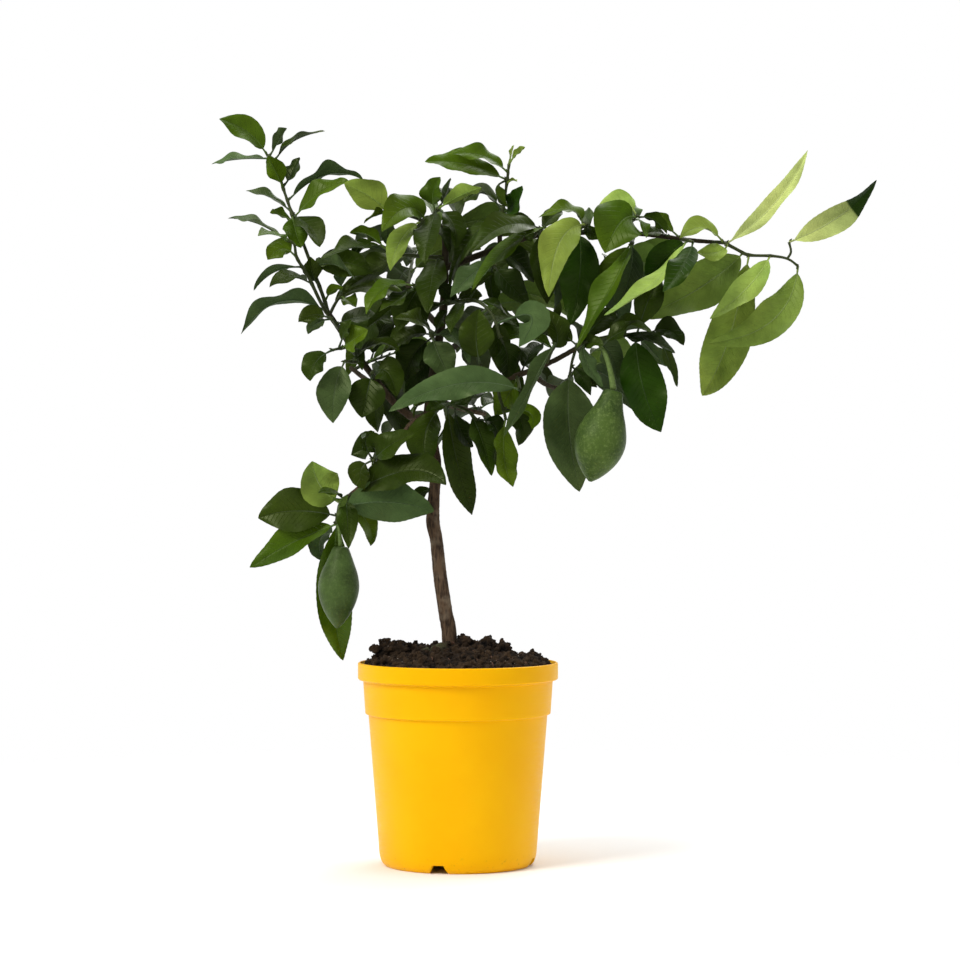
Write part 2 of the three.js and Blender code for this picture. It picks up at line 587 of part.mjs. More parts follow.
function makePot() {
  const outline = potOutline().map(([r, z]) => new THREE.Vector2(r, z));
  const turned = new THREE.LatheGeometry(outline, POT.segments);
  turned.rotateX(Math.PI / 2);
  return notches().reduce((pot, notch) => pot.subtract(notch), solidOf(turned));
}

function soilHeight(x, y) {
  const share = Math.min(1, Math.hypot(x, y) / SOIL.radius);
  const lumps = SOIL_LUMPS.reduce((sum, [cx, cy, height, spread]) => {
    const away = ((x - cx) ** 2 + (y - cy) ** 2) / (2 * spread ** 2);
    return sum + height * Math.exp(-away);
  }, 0);
  const crumbs = SOIL.crumb * Math.sin(x * 0.61 + 2 * Math.sin(y * 0.37)) * Math.sin(y * 0.53 + x * 0.11);
  const inside = 1 - share ** 6;
  return SOIL.edge + SOIL.crown * (1 - share ** SOIL.fullness) + (lumps + crumbs) * inside;
}

// Rings from the middle of the soil's foot up the wall, then over the mound to its middle.
function makeSoil() {
  const { top, lip, collar, collarEnd, body, base, wall, floor } = POT;
  const inset = wall + 2 * GAP;
  const sideProfile = [
    [base - inset, floor + wall + GAP],
    [body - inset, collarEnd],
    [collar - inset, top - lip],
    [SOIL.radius, top - lip + SOIL.shoulder],
  ];
  const radii = Array.from({ length: SOIL.rings }, (_, i) => SOIL.radius * (1 - (i / SOIL.rings) ** 1.15));
  const around = (make) => Array.from({ length: POT.segments }, (_, k) => {
    const angle = (-2 * Math.PI * k) / POT.segments;
    return make(Math.cos(angle), Math.sin(angle));
  });
  const side = sideProfile.map(([r, z]) => around((c, s) => new THREE.Vector3(r * c, r * s, z)));
  const mound = radii.map((r) => around((c, s) => new THREE.Vector3(r * c, r * s, soilHeight(r * c, r * s))));
  const ground = solidOf(skin([...side, ...mound].reverse()));
  return joined([ground, ...CLODS.map(clodSolid)]);
}

function clodSolid([x, y, z, long, wide, high], number) {
  const geometry = new THREE.IcosahedronGeometry(1, 0);
  geometry.rotateZ(SOIL.turn * number);
  geometry.scale(long, wide, high);
  geometry.translate(x, y, z);
  return solidOf(geometry);
}

// ------------------------------------------------------------------ fruit

function fruitSolid({ neck, tip, depth, outline }, extra = 0) {
  const high = onSight([...neck, depth]);
  const low = onSight([...tip, depth]);
  const length = high.distanceTo(low);
  const profile = outline.map(([share, radius]) => new THREE.Vector2(radius + extra, -share * length));
  profile[0].y += extra;
  profile[profile.length - 1].y -= extra;
  const closed = [new THREE.Vector2(0, profile[0].y), ...profile, new THREE.Vector2(0, profile.at(-1).y)];
  const geometry = new THREE.LatheGeometry(closed.reverse(), FRUIT_SIDES);
  const hang = new THREE.Vector3().subVectors(high, low).normalize();
  geometry.applyQuaternion(new THREE.Quaternion().setFromUnitVectors(new THREE.Vector3(0, 1, 0), hang));
  geometry.translate(high.x, high.y, high.z);
  return solidOf(geometry);
}

// ------------------------------------------------------------------ leaves

// Half the blade's width at a share s of its length, as a share of its greatest half width.
const spread = (s) => Math.sin(Math.PI * s ** 0.85) ** 0.8;

// A leaf is its root, middle and tip in space, the way its upper face looks, its width and its twist.
function bladeFrame(leaf, t) {
  const { root, middle, tip } = leaf;
  const pull = middle.clone().multiplyScalar(2).addScaledVector(root, -0.5).addScaledVector(tip, -0.5);
  const place = root.clone().multiplyScalar((1 - t) ** 2)
    .addScaledVector(pull, 2 * t * (1 - t))
    .addScaledVector(tip, t ** 2);
  const along = pull.clone().sub(root).multiplyScalar(1 - t)
    .addScaledVector(tip.clone().sub(pull), t)
    .normalize();
  const face = leaf.facing.clone().addScaledVector(along, -leaf.facing.dot(along)).normalize();
  face.applyAxisAngle(along, leaf.twist * t);
  const across = new THREE.Vector3().crossVectors(along, face);
  return { place, across, face };
}

// Where the bare stalk ends, as a share of the whole midrib.
function stalkShare(leaf) {
  return Math.min(0.3, LEAF.stalk / leaf.root.distanceTo(leaf.tip));
}

// A point of the blade: s runs from its base to its tip, v from -1 to 1 across it.
function bladePoint(leaf, s, v) {
  const start = stalkShare(leaf);
  const { place, across, face } = bladeFrame(leaf, start + (1 - start) * s);
  const reach = Math.abs(v) * (leaf.width / 2) * spread(s);
  return place
    .addScaledVector(across, Math.sign(v) * reach * Math.cos(LEAF.fold))
    .addScaledVector(face, reach * Math.sin(LEAF.fold));
}

// The blade's section: left margin, midrib above, right margin, midrib below.
function leafRing(leaf, t, half, thick, lift) {
  const { place, across, face } = bladeFrame(leaf, t);
  const margin = (side) => place.clone()
    .addScaledVector(across, side * half * Math.cos(LEAF.fold))
    .addScaledVector(face, half * Math.sin(LEAF.fold) + side * lift);
  const rib = (side) => place.clone().addScaledVector(face, side * thick);
  return [margin(-1), rib(1), margin(1), rib(-1)];
}

const UNDERSIDE = [2, 3]; // sides of the section whose squares are split as the upper ones above them

function leafSolid(leaf, stations) {
  const start = stalkShare(leaf);
  const wave = LEAF.wave * leaf.width;
  const rings = [leafRing(leaf, 0, LEAF.petiole, LEAF.petiole, 0)];
  stations.forEach((s, i) => {
    const inside = s > 0 && s < 1;
    const half = inside ? (leaf.width / 2) * spread(s) : [LEAF.petiole, LEAF.tip][s];
    const thick = s > 0 ? LEAF.half : LEAF.petiole;
    const lift = inside ? wave * (-1) ** i : 0;
    rings.push(leafRing(leaf, start + (1 - start) * s, half, thick, lift));
  });
  return solidOf(skin(rings, UNDERSIDE));
}

// ------------------------------------------------------------------ placing leaves clear of each other

const ROOM = {
  stem: 2.5, // room round a stem, beyond its radius
  fruit: 3, // room round a fruit
  step: 5, // distance between the places looked at along a stem
  base: 0.2, // share of a leaf, from its root, that may lie close to others
};
const LOOK_S = [0.1, 0.2, 0.3, 0.4, 0.5, 0.6, 0.7, 0.8, 0.9, 1];
const LOOK_V = [-1, -0.67, -0.33, 0, 0.33, 0.67, 1];
const taken = []; // { point, room } of everything placed so far

function lookPoints(leaf) {
  return LOOK_S.flatMap((s) => LOOK_V.map((v) => ({ s, point: bladePoint(leaf, s, v) })));
}

// The least room a leaf has to what is placed already, beyond what each thing needs round it.
function clearance(looks) {
  let least = Infinity;
  for (const { s, point } of looks) {
    if (s < ROOM.base) continue;
    for (const { point: other, room } of taken) {
      const spare = point.distanceTo(other) - room;
      if (spare < least) least = spare;
    }
  }
  return least;
}

// The first of the candidate leaves that is clear, or else the one with the most room.
function roomiest(candidates) {
  let best = null;
  for (const leaf of candidates) {
    const looks = lookPoints(leaf);
    const spare = clearance(looks);
    if (!best || spare > best.spare) best = { leaf, looks, spare };
    if (spare >= 0) break;
  }
  return best;
}

function placeLeaf({ leaf, looks }) {
  looks.forEach(({ point }) => taken.push({ point, room: CLEAR }));
  return leaf;
}

function takeStem(points, radii) {
  for (let i = 0; i < points.length - 1; i++) {
    const steps = Math.ceil(points[i].distanceTo(points[i + 1]) / ROOM.step);
    for (let k = 0; k < steps; k++) {
      const room = THREE.MathUtils.lerp(radii[i], radii[i + 1], k / steps) + ROOM.stem;
      taken.push({ point: points[i].clone().lerp(points[i + 1], k / steps), room });
    }
  }
}

function takeFruit({ neck, tip, depth, outline }) {
  const high = onSight([...neck, depth]);
  const low = onSight([...tip, depth]);
  outline.forEach(([share, radius]) => {
    taken.push({ point: high.clone().lerp(low, share), room: radius + ROOM.fruit });
  });
}

// The point of the shoots that the elevation shows nearest to [x, z].
function nearestOnShoots(shoots, x, z) {
  let best = null;
  for (const { points } of shoots) {
    for (let i = 0; i < points.length - 1; i++) {
      const [ax, az, ay] = points[i];
      const [bx, bz, by] = points[i + 1];
      const length2 = (bx - ax) ** 2 + (bz - az) ** 2;
      const along = ((x - ax) * (bx - ax) + (z - az) * (bz - az)) / length2;
      const share = THREE.MathUtils.clamp(along, 0, 1);
      const spot = [ax + (bx - ax) * share, az + (bz - az) * share, ay + (by - ay) * share];
      const away = Math.hypot(spot[0] - x, spot[1] - z);
      if (!best || away < best.away) best = { away, spot };
    }
  }
  return best.spot;
}

function drawnLeaf(row, shoots) {
  const [rx, rz, mx, mz, tx, tz, width, turn, reach, , twist = 0] = row;
  const spot = nearestOnShoots(shoots, rx, rz);
  const chord = new THREE.Vector2(tx - rx, tz - rz).normalize();
  const side = chord.x < 0 ? 1 : -1;
  const angle = THREE.MathUtils.degToRad(turn);
  const facing = new THREE.Vector3(
    side * chord.y * Math.sin(angle),
    -Math.cos(angle),
    -side * chord.x * Math.sin(angle),
  );
  const candidates = STEPS_ASIDE.map((aside) => ({
    root: onSight(spot),
    middle: onSight([mx, mz, spot[2] + 0.55 * (reach + aside)]),
    tip: onSight([tx, tz, spot[2] + reach + aside]),
    facing,
    width,
    twist: THREE.MathUtils.degToRad(twist),
  }));
  return placeLeaf(roomiest(candidates));
}

// ------------------------------------------------------------------ sprays

// Whole-number random draws, the same in any language: mulberry32.
function randomDraws(seed) {
  let state = seed >>> 0;
  return () => {
    state = (state + 0x6d2b79f5) >>> 0;
    let t = state;
    t = Math.imul(t ^ (t >>> 15), t | 1) >>> 0;
    t = (t ^ (t + (Math.imul(t ^ (t >>> 7), t | 61) >>> 0))) >>> 0;
    return ((t ^ (t >>> 14)) >>> 0) / 4294967296;
  };
}
const draw = randomDraws(GROWTH.seed);

function grownShoot({ from, heading, length }) {
  const start = onSight(from);
  const along = new THREE.Vector3(...heading).normalize();
  const joints = Math.max(2, Math.round(length / GROWTH.step));
  return Array.from({ length: joints + 1 }, (_, i) => {
    const share = i / joints;
    const place = start.clone().addScaledVector(along, share * length);
    place.z -= GROWTH.sag * share ** 2;
    return place;
  });
}

function grownLeaf(shoot, share, number, look) {
  const span = shoot.length - 1;
  const joint = Math.min(span - 1, Math.floor(share * span));
  const root = shoot[joint].clone().lerp(shoot[joint + 1], share * span - joint);
  const along = shoot[joint + 1].clone().sub(shoot[joint]).normalize();
  const aside = new THREE.Vector3(0, 0, 1).cross(along).normalize();
  const above = new THREE.Vector3().crossVectors(along, aside);
  const length = GROWTH.shortest + (GROWTH.longest - GROWTH.shortest) * draw();
  const candidates = Array.from({ length: TRIES }, () => {
    const angle = GROWTH.turn * number + GROWTH.stray * (draw() - 0.5);
    const lean = share < 1 ? GROWTH.lean + GROWTH.sway * (draw() - 0.5) : GROWTH.lastLean;
    const out = aside.clone().multiplyScalar(Math.cos(angle)).addScaledVector(above, Math.sin(angle));
    const way = along.clone().multiplyScalar(Math.cos(lean)).addScaledVector(out, Math.sin(lean));
    way.z = way.z * GROWTH.level - GROWTH.hang;
    way.normalize();
    const tip = root.clone().addScaledVector(way, length);
    const middle = root.clone().lerp(tip, 0.5);
    middle.z += GROWTH.droop * length * 0.5;
    tip.z -= GROWTH.droop * length * 0.5;
    const [east, north, twist] = [draw(), draw(), draw()].map((drawn) => GROWTH.roll * (drawn - 0.5));
    const facing = new THREE.Vector3(east, look + north, 1 - Math.abs(look) / 2);
    return { root, middle, tip, facing, width: GROWTH.slender * length, twist };
  });
  const best = roomiest(candidates);
  return best.spare < 0 ? null : placeLeaf(best);
}

// Where a blade has its rings, for leaves up to a length from root to tip.
const STATIONS = [
  { upTo: 30, at: [0, 0.42, 1] },
  { upTo: 72, at: [0, 0.3, 0.68, 1] },
  { upTo: Infinity, at: [0, 0.22, 0.5, 0.78, 1] },
];
const SHOOT_SIDES = 4;

function stationsOf({ root, tip }) {
  return STATIONS.find(({ upTo }) => root.distanceTo(tip) <= upTo).at;
}

function shootSolid(points, [thick, thin]) {
  const radii = points.map((_, i) => THREE.MathUtils.lerp(thick, thin, i / (points.length - 1)));
  return stem(points, radii, SHOOT_SIDES);
}

// The tone that most of a spray's leaves have.
function commonTone(leaves) {
  const count = (tone) => leaves.filter((row) => row.includes(tone)).length;
  return Object.keys(TONES).reduce((most, tone) => (count(tone) > count(most) ? tone : most));
}

function drawnSpray({ shoots, leaves }) {
  const grown = leaves.map((row) => drawnLeaf(row, shoots));
  const blades = grown.map((leaf) => leafSolid(leaf, stationsOf(leaf)));
  return [...shoots.map(({ points, radii }) => shootSolid(points.map(onSight), radii)), ...blades];
}

function hiddenSpray(rules) {
  return rules.flatMap((rule) => {
    const shoot = grownShoot(rule);
    const places = Array.from({ length: rule.leaves }, (_, i) => (i + 1) / rule.leaves);
    const leaves = places.map((share, i) => grownLeaf(shoot, share, i, rule.look)).filter(Boolean);
    return [shootSolid(shoot, GROWTH.radii), ...leaves.map((leaf) => leafSolid(leaf, GROWTH.stations))];
  });
}

// ------------------------------------------------------------------ the whole tree

takeStem(TRUNK.map(onSight), TRUNK.map((p) => p[3]));
LIMBS.forEach((limb) => takeStem(limb.map(onSight), limb.map((p) => p[3])));
Object.values(SPRAYS).flatMap((spray) => spray.shoots).forEach(({ points, radii }) => {
  takeStem(points.map(onSight), points.map(() => radii[0]));
});
Object.values(FRUITS).forEach(takeFruit);

const trunk = wood();
const around = joined([wood(GAP), ...Object.values(FRUITS).map((fruit) => fruitSolid(fruit, GAP))]);

const tree = new THREE.Group();
tree.name = 'potted_lemon_tree';

function addPiece(name, solid, color, roughness) {
  const material = new THREE.MeshStandardMaterial({ color, roughness, metalness: 0 });
  const mesh = new THREE.Mesh(geometryOf(solid), material);
  mesh.name = name;
  tree.add(mesh);
}

// Each spray that leaves the wood by itself is a piece of its own, numbered from left to right.
function addSprays(name, solids, color) {
  joined(solids).subtract(around).decompose()
    .filter((body) => body.volume() > SCRAP)
    .sort((a, b) => a.boundingBox().min[0] - b.boundingBox().min[0])
    .forEach((body, i) => addPiece(`${name}_${i + 1}`, body, color, 0.5));
}

addPiece('pot', makePot(), '#fcc015', 0.4);
addPiece('soil', makeSoil().subtract(woodOf(TRUNK, 8, GAP)), '#3a2a22', 1);
addPiece('trunk', trunk, '#6b5246', 0.85);
for (const [name, fruit] of Object.entries(FRUITS)) {
  addPiece(name, fruitSolid(fruit), '#55752f', 0.45);
}
for (const [name, spray] of Object.entries(SPRAYS)) {
  addSprays(name, drawnSpray(spray), TONES[commonTone(spray.leaves)]);
}
for (const [name, rules] of Object.entries(HIDDEN_SPRAYS)) {
  addSprays(name, hiddenSpray(rules), TONES.dark);
}

export default tree;
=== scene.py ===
"""A young lemon tree in a yellow nursery pot, dressed for the eye round the frame of its solids.

Sizes in the tables are millimetres, as a maker would note them. Meshes are built in metres, in the frame's
own axes: +Z up, front towards -Y, origin in the middle of the pot's underside.
"""
import logging
import math
import re
from dataclasses import dataclass, field
from enum import Enum
from typing import Iterable, Optional, Sequence

import bmesh
import bpy
import numpy as np
from mathutils import Matrix, Vector, noise


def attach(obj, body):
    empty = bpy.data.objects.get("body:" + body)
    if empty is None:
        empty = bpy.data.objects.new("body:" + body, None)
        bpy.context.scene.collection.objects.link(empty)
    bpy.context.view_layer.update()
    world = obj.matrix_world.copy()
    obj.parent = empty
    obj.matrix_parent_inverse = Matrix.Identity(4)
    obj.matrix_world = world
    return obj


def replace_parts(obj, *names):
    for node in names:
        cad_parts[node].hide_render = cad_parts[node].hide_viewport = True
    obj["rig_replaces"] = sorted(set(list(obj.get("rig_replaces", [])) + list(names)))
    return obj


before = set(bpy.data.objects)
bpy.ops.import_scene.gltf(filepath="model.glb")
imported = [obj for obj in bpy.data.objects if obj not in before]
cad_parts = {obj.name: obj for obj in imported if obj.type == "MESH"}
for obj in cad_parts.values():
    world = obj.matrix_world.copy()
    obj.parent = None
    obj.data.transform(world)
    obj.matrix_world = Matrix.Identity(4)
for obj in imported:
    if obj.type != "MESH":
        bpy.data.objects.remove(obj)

log = logging.getLogger("lemon_tree")

MM = 0.001
BODY = "root"
Array = np.ndarray
Rows = list[list[float]]
MATH, VECTOR, MIX = "ShaderNodeMath", "ShaderNodeVectorMath", "ShaderNodeMix"
NOISE, SPAN, BUMP = "ShaderNodeTexNoise", "ShaderNodeMapRange", "ShaderNodeBump"


# ------------------------------------------------------------------ helpers

def linear(code: str) -> tuple[float, float, float, float]:
    """Turns an sRGB hex colour into linear light.

    Args:
        code: The colour as "#RRGGBB".

    Returns:
        Red, green and blue from 0 to 1 in linear light, and full alpha.
    """
    parts = [int(code[i:i + 2], 16) / 255 for i in (1, 3, 5)]
    lit = [p / 12.92 if p <= 0.04045 else ((p + 0.055) / 1.055) ** 2.4 for p in parts]
    return lit[0], lit[1], lit[2], 1.0


def feed(tree: bpy.types.NodeTree, node: bpy.types.Node, inputs: dict) -> None:
    """Sets a node's inputs.

    Args:
        tree: The node tree that holds the node.
        node: The node.
        inputs: For each input, by name or number, a constant, a socket, or a node whose first live output counts.
    """
    for key, value in inputs.items():
        if isinstance(value, bpy.types.Node):
            value = next(out for out in value.outputs if out.enabled)
        if isinstance(value, bpy.types.NodeSocket):
            tree.links.new(value, node.inputs[key])
        else:
            node.inputs[key].default_value = value


def add_node(tree: bpy.types.NodeTree, kind: str, inputs: Optional[dict] = None, **settings) -> bpy.types.Node:
    """Adds a node with its settings, its constants and its links.

    Args:
        tree: The node tree that gets the node.
        kind: The node's type name.
        inputs: What its inputs get, as for feed.
        **settings: The node's own properties.

    Returns:
        The new node.
    """
    node = tree.nodes.new(kind)
    for key, value in settings.items():
        setattr(node, key, value)
    feed(tree, node, inputs or {})
    return node


def new_object(name: str, mesh: bpy.types.Mesh) -> bpy.types.Object:
    """Puts a mesh into the scene as a smooth-shaded object at the origin."""
    mesh.polygons.foreach_set("use_smooth", [True] * len(mesh.polygons))
    piece = bpy.data.objects.new(name, mesh)
    bpy.context.scene.collection.objects.link(piece)
    return piece


def outward(mesh: bpy.types.Mesh) -> None:
    """Merges coincident corners of a closed mesh, turns its faces outwards, and keeps the shading of unlike
    skins apart where they meet."""
    work = bmesh.new()
    work.from_mesh(mesh)
    bmesh.ops.remove_doubles(work, verts=work.verts, dist=1e-7)
    bmesh.ops.recalc_face_normals(work, faces=work.faces)
    skin = work.faces.layers.float.get("skin")
    for edge in work.edges if skin else ():
        edge.smooth = len({round(face[skin]) for face in edge.link_faces}) == 1
    work.to_mesh(mesh)
    work.free()


def applied(name: str, piece: bpy.types.Object) -> bpy.types.Object:
    """Makes a plain object of what another one looks like with its modifiers, and removes that one.

    Args:
        name: Name of the new object.
        piece: The object with live modifiers.

    Returns:
        The new object, at the origin.
    """
    graph = bpy.context.evaluated_depsgraph_get()
    mesh = bpy.data.meshes.new_from_object(piece.evaluated_get(graph), preserve_all_data_layers=True, depsgraph=graph)
    mesh.name = name
    bpy.data.objects.remove(piece)
    outward(mesh)
    return new_object(name, mesh)


def grown(name: str, seed: bpy.types.Mesh, tree: bpy.types.NodeTree, inputs: dict) -> bpy.types.Object:
    """Runs a geometry tree on a mesh and keeps the result as a plain mesh.

    Args:
        name: Name of the new object.
        seed: The mesh that the tree starts from.
        tree: The geometry tree.
        inputs: The tree's named inputs.

    Returns:
        The new object, at the origin.
    """
    carrier = bpy.data.objects.new(name + "_seed", seed)
    bpy.context.scene.collection.objects.link(carrier)
    modifier = carrier.modifiers.new("grow", "NODES")
    modifier.node_group = tree
    for item in tree.interface.items_tree:
        if item.name in inputs:
            modifier[item.identifier] = inputs[item.name]
    return applied(name, carrier)


def geometry_tree(name: str, inputs: dict[str, str]) -> tuple[bpy.types.NodeTree, bpy.types.Node]:
    """Starts a geometry tree.

    Args:
        name: The tree's name.
        inputs: Its named inputs and their socket types, after the geometry.

    Returns:
        The tree and its group input.
    """
    tree = bpy.data.node_groups.new(name, "GeometryNodeTree")
    tree.interface.new_socket("Geometry", in_out="INPUT", socket_type="NodeSocketGeometry")
    for label, kind in inputs.items():
        tree.interface.new_socket(label, in_out="INPUT", socket_type=kind)
    tree.interface.new_socket("Geometry", in_out="OUTPUT", socket_type="NodeSocketGeometry")
    return tree, add_node(tree, "NodeGroupInput")


KINDS = {1: ("FLOAT", "value"), 3: ("FLOAT_VECTOR", "vector"), 4: ("FLOAT_COLOR", "color")}  # by numbers a point


def seed_mesh(name: str, points: Array, edges: Sequence[tuple[int, int]], layers: dict[str, Array]) -> bpy.types.Mesh:
    """Makes a mesh of lines that carries values at its points.

    Args:
        name: The mesh's name.
        points: The points, in metres.
        edges: Pairs of point numbers.
        layers: For each attribute its values: one, three or four numbers a point.

    Returns:
        The mesh.
    """
    mesh = bpy.data.meshes.new(name)
    mesh.from_pydata(points.tolist(), edges, [])
    for label, values in layers.items():
        kind, key = KINDS[1 if values.ndim == 1 else values.shape[1]]
        layer = mesh.attributes.new(label, kind, "POINT")
        layer.data.foreach_set(key, np.ascontiguousarray(values, dtype=np.float32).ravel())
    return mesh


def lathe(name: str, outline: Sequence[tuple[float, float]], sides: int) -> bpy.types.Mesh:
    """Turns an outline round the Z axis into a closed mesh.

    Args:
        name: The mesh's name.
        outline: Radius and height in millimetres, from axis to axis.
        sides: How many steps the turn has.

    Returns:
        The mesh, in metres.
    """
    work = bmesh.new()
    rings = []
    for radius, height in outline:
        count = sides if radius > 1e-9 else 1
        angles = [2 * math.pi * k / count for k in range(count)]
        ring = [(radius * math.cos(a) * MM, radius * math.sin(a) * MM, height * MM) for a in angles]
        rings.append([work.verts.new(place) for place in ring])
    for low, high in zip(rings, rings[1:]):
        for k in range(sides):
            corners = [low[k % len(low)], low[(k + 1) % len(low)], high[(k + 1) % len(high)], high[k % len(high)]]
            distinct = list(dict.fromkeys(corners))
            if len(distinct) > 2:
                work.faces.new(distinct)
    bmesh.ops.recalc_face_normals(work, faces=work.faces)
    mesh = bpy.data.meshes.new(name)
    work.to_mesh(mesh)
    work.free()
    return mesh


def rounded(corners: Sequence[tuple[float, float, float]], steps: int = 5) -> list[tuple[float, float]]:
    """Rounds the corners of an open outline.

    Args:
        corners: x, y and rounding of each corner, in millimetres.
        steps: How many straight bits an arc has.

    Returns:
        The outline's points.
    """
    points = [Vector(corner[:2]) for corner in corners]
    result = [tuple(points[0])]
    for before, here, after, corner in zip(points, points[1:], points[2:], corners[1:]):
        back, on = before - here, after - here
        reach = min(corner[2], 0.45 * back.length, 0.45 * on.length)
        start, end = here + back.normalized() * reach, here + on.normalized() * reach
        if reach < 0.05:
            result.append(tuple(here))
            continue
        for k in range(steps + 1):
            t = k / steps
            result.append(tuple(start * (1 - t) ** 2 + here * (2 * t * (1 - t)) + end * t ** 2))
    result.append(tuple(points[-1]))
    return result


def smooth_path(points: Array, values: Array, spacing: float) -> tuple[Array, Array]:
    """Lays a smooth line through points, with a value carried along it.

    Args:
        points: The points, in millimetres.
        values: One value a point.
        spacing: Distance between the new points.

    Returns:
        The new points and values.
    """
    ends = np.vstack([2 * points[0] - points[1], points, 2 * points[-1] - points[-2]])
    path, carried = [], []
    for i in range(len(points) - 1):
        p0, p1, p2, p3 = ends[i:i + 4]
        steps = max(2, round(float(np.linalg.norm(p2 - p1)) / spacing))
        for t in np.arange(steps) / steps:
            path.append(0.5 * (2 * p1 + (p2 - p0) * t + (2 * p0 - 5 * p1 + 4 * p2 - p3) * t ** 2
                               + (3 * p1 - p0 - 3 * p2 + p3) * t ** 3))
            carried.append(values[i] + (values[i + 1] - values[i]) * t)
    path.append(points[-1])
    carried.append(values[-1])
    return np.array(path), np.array(carried)


def dress(piece: bpy.types.Object, nodes: Iterable[str] = ()) -> bpy.types.Object:
    """Makes a finished piece ride on the tree's body, and tells the nodes it stands for."""
    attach(piece, BODY)
    if nodes:
        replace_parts(piece, *nodes)
    return piece


# ------------------------------------------------------------------ the front elevation

# The crown is drawn in front elevation, as an eye sees it from here. A point that the elevation shows at
# (x, z) lies on its sight line at depth y: 0 at the pot's axis, positive behind it.
EYE = np.array([22.0, -2780.0, 384.0])
ASIDE = 1.0  # the elevation's x is counted from a plumb line this far right of the pot's axis


def on_sight(x: float, z: float, y: float = 0.0) -> Array:
    """Gives the place in space of a point of the elevation at a depth, in millimetres."""
    far = (y - EYE[1]) / -EYE[1]
    return np.array([EYE[0] + (x + ASIDE - EYE[0]) * far, y, EYE[2] + (z - EYE[2]) * far])


def unit(vectors: Array) -> Array:
    """Scales vectors to length 1."""
    return vectors / np.linalg.norm(vectors, axis=-1, keepdims=True)


class Tone(Enum):
    """Tone of a leaf: the face that the viewer sees and the other one, in sRGB."""

    # Partly painted light and shade: besides the leaves' own greens, young and pale or old and dark, the tones hold
    # the light where each leaf hangs. SHADE, DARK and DEEP are darker partly as painted shade for leaves inside the
    # crown, FRESH, LIME and PALE lighter partly as painted light for leaves in full light, and GREY partly a painted
    # reflection, the grey-green sheen of the sky on a waxy upper face.
    SHADE = ("#182704", "#262F16")
    DARK = ("#263508", "#38452A")
    DEEP = ("#1D3604", "#364A1E")
    MID = ("#3C520A", "#50662A")
    FRESH = ("#708636", "#768A42")
    LIME = ("#829A44", "#8CA050")
    PALE = ("#A0B068", "#9CAA6C")
    GREY = ("#3E502B", "#4C5C3A")


SHADE, DARK, DEEP, MID, FRESH, LIME, PALE, GREY = Tone


@dataclass(frozen=True)
class SprayPlan:
    """A spray as drawn in elevation.

    A shoot is its first and last radius and its points [x, z, y]; it starts on its limb. A leaf is the root,
    the middle and the tip of its midrib [x, z, x, z, x, z], its width, the turn of its upper face (0 towards
    the viewer, 90 up, 180 away), how far its tip reaches away from the viewer, its tone, at times a twist
    towards the tip in degrees, and once where its tip rolls over.
    """

    shoots: list[tuple[list[float], Rows]]
    leaves: list[list]


@dataclass(frozen=True)
class HiddenPlan:
    """A shoot grown by rule: where it leaves its limb [x, z, y], its heading [east, north, up], its length, its
    number of leaves, and how far their upper faces look to the back."""

    start: tuple[float, float, float]
    heading: tuple[float, float, float]
    length: float
    leaves: int
    look: float


# ------------------------------------------------------------------ the drawing

# Wood: points [x, z, y, radius] from the soil or the parent limb outwards.
TRUNK: Rows = [
    [-7, 152, 0, 8.4],
    [-9.5, 226, 0, 7.7],
    [-13.5, 252, -1, 7.2],
    [-19, 289, -2, 6.9],
    [-22.5, 323, -1, 6.4],
    [-26, 342, 0, 7],
    [-25, 369, 1, 5.8],
    [-23, 401, 2, 5.4],
    [-30, 444, 2, 5.8],
    [-24, 500, 0, 4.6],
    [-16, 552, -2, 4.2],
    [-14, 600, 0, 3.6],
    [-15, 630, 2, 3],
    [-27, 649, 4, 2.2],
]

LIMBS: list[Rows] = [
    # left, up to the three-way crotch
    [[-28, 436, 2, 4.4], [-50, 449, 3, 4], [-69, 466, 2, 3.7], [-98, 504, -4, 3.2], [-130, 550, -10, 2.6]],
    # low on the left, out to the hanging fruit
    [[-31, 450, 0, 3.8], [-48, 439, -12, 3.4], [-62, 419, -18, 3.1], [-80, 404, -22, 2.9], [-90, 385, -26, 2.7],
        [-112, 366, -32, 2.4]],
    # long, to the right
    [[-14, 596, 0, 3.6], [18, 608, 3, 3.3], [50, 620, 2, 3.1], [80, 629, -2, 2.9], [140, 632, -6, 2.7],
        [184, 630, -8, 2.4], [230, 624, -8, 2.2], [268, 621, -6, 1.9]],
    # low on the right, out to the tilted fruit
    [[-26, 468, 0, 3.6], [10, 476, -14, 3.2], [50, 486, -24, 2.9], [88, 500, -30, 2.6], [118, 516, -33, 2.3]],
    # up from the long limb
    [[41, 616, 2, 2.6], [41, 632, -2, 2.3], [43, 648, -4, 2]],
    # away from the viewer
    [[-22, 505, 0, 3.6], [-2, 520, 34, 3.1], [14, 540, 66, 2.6]],
    [[-18, 535, 0, 3.4], [-36, 556, 34, 3], [-52, 580, 62, 2.5]],
    [[-76, 476, 1, 3], [-92, 484, 34, 2.6], [-108, 496, 62, 2.2]],
    [[104, 630, -3, 2.6], [118, 612, 30, 2.4], [132, 594, 60, 2.1]],
    [[70, 493, -28, 2.6], [86, 480, 6, 2.4], [104, 474, 40, 2]],
    [[-30, 448, 0, 3.2], [-44, 446, 30, 2.7], [-56, 440, 56, 2.2]],
    [[-26, 466, 0, 3.2], [0, 456, 28, 2.7], [26, 450, 52, 2.2]],
]

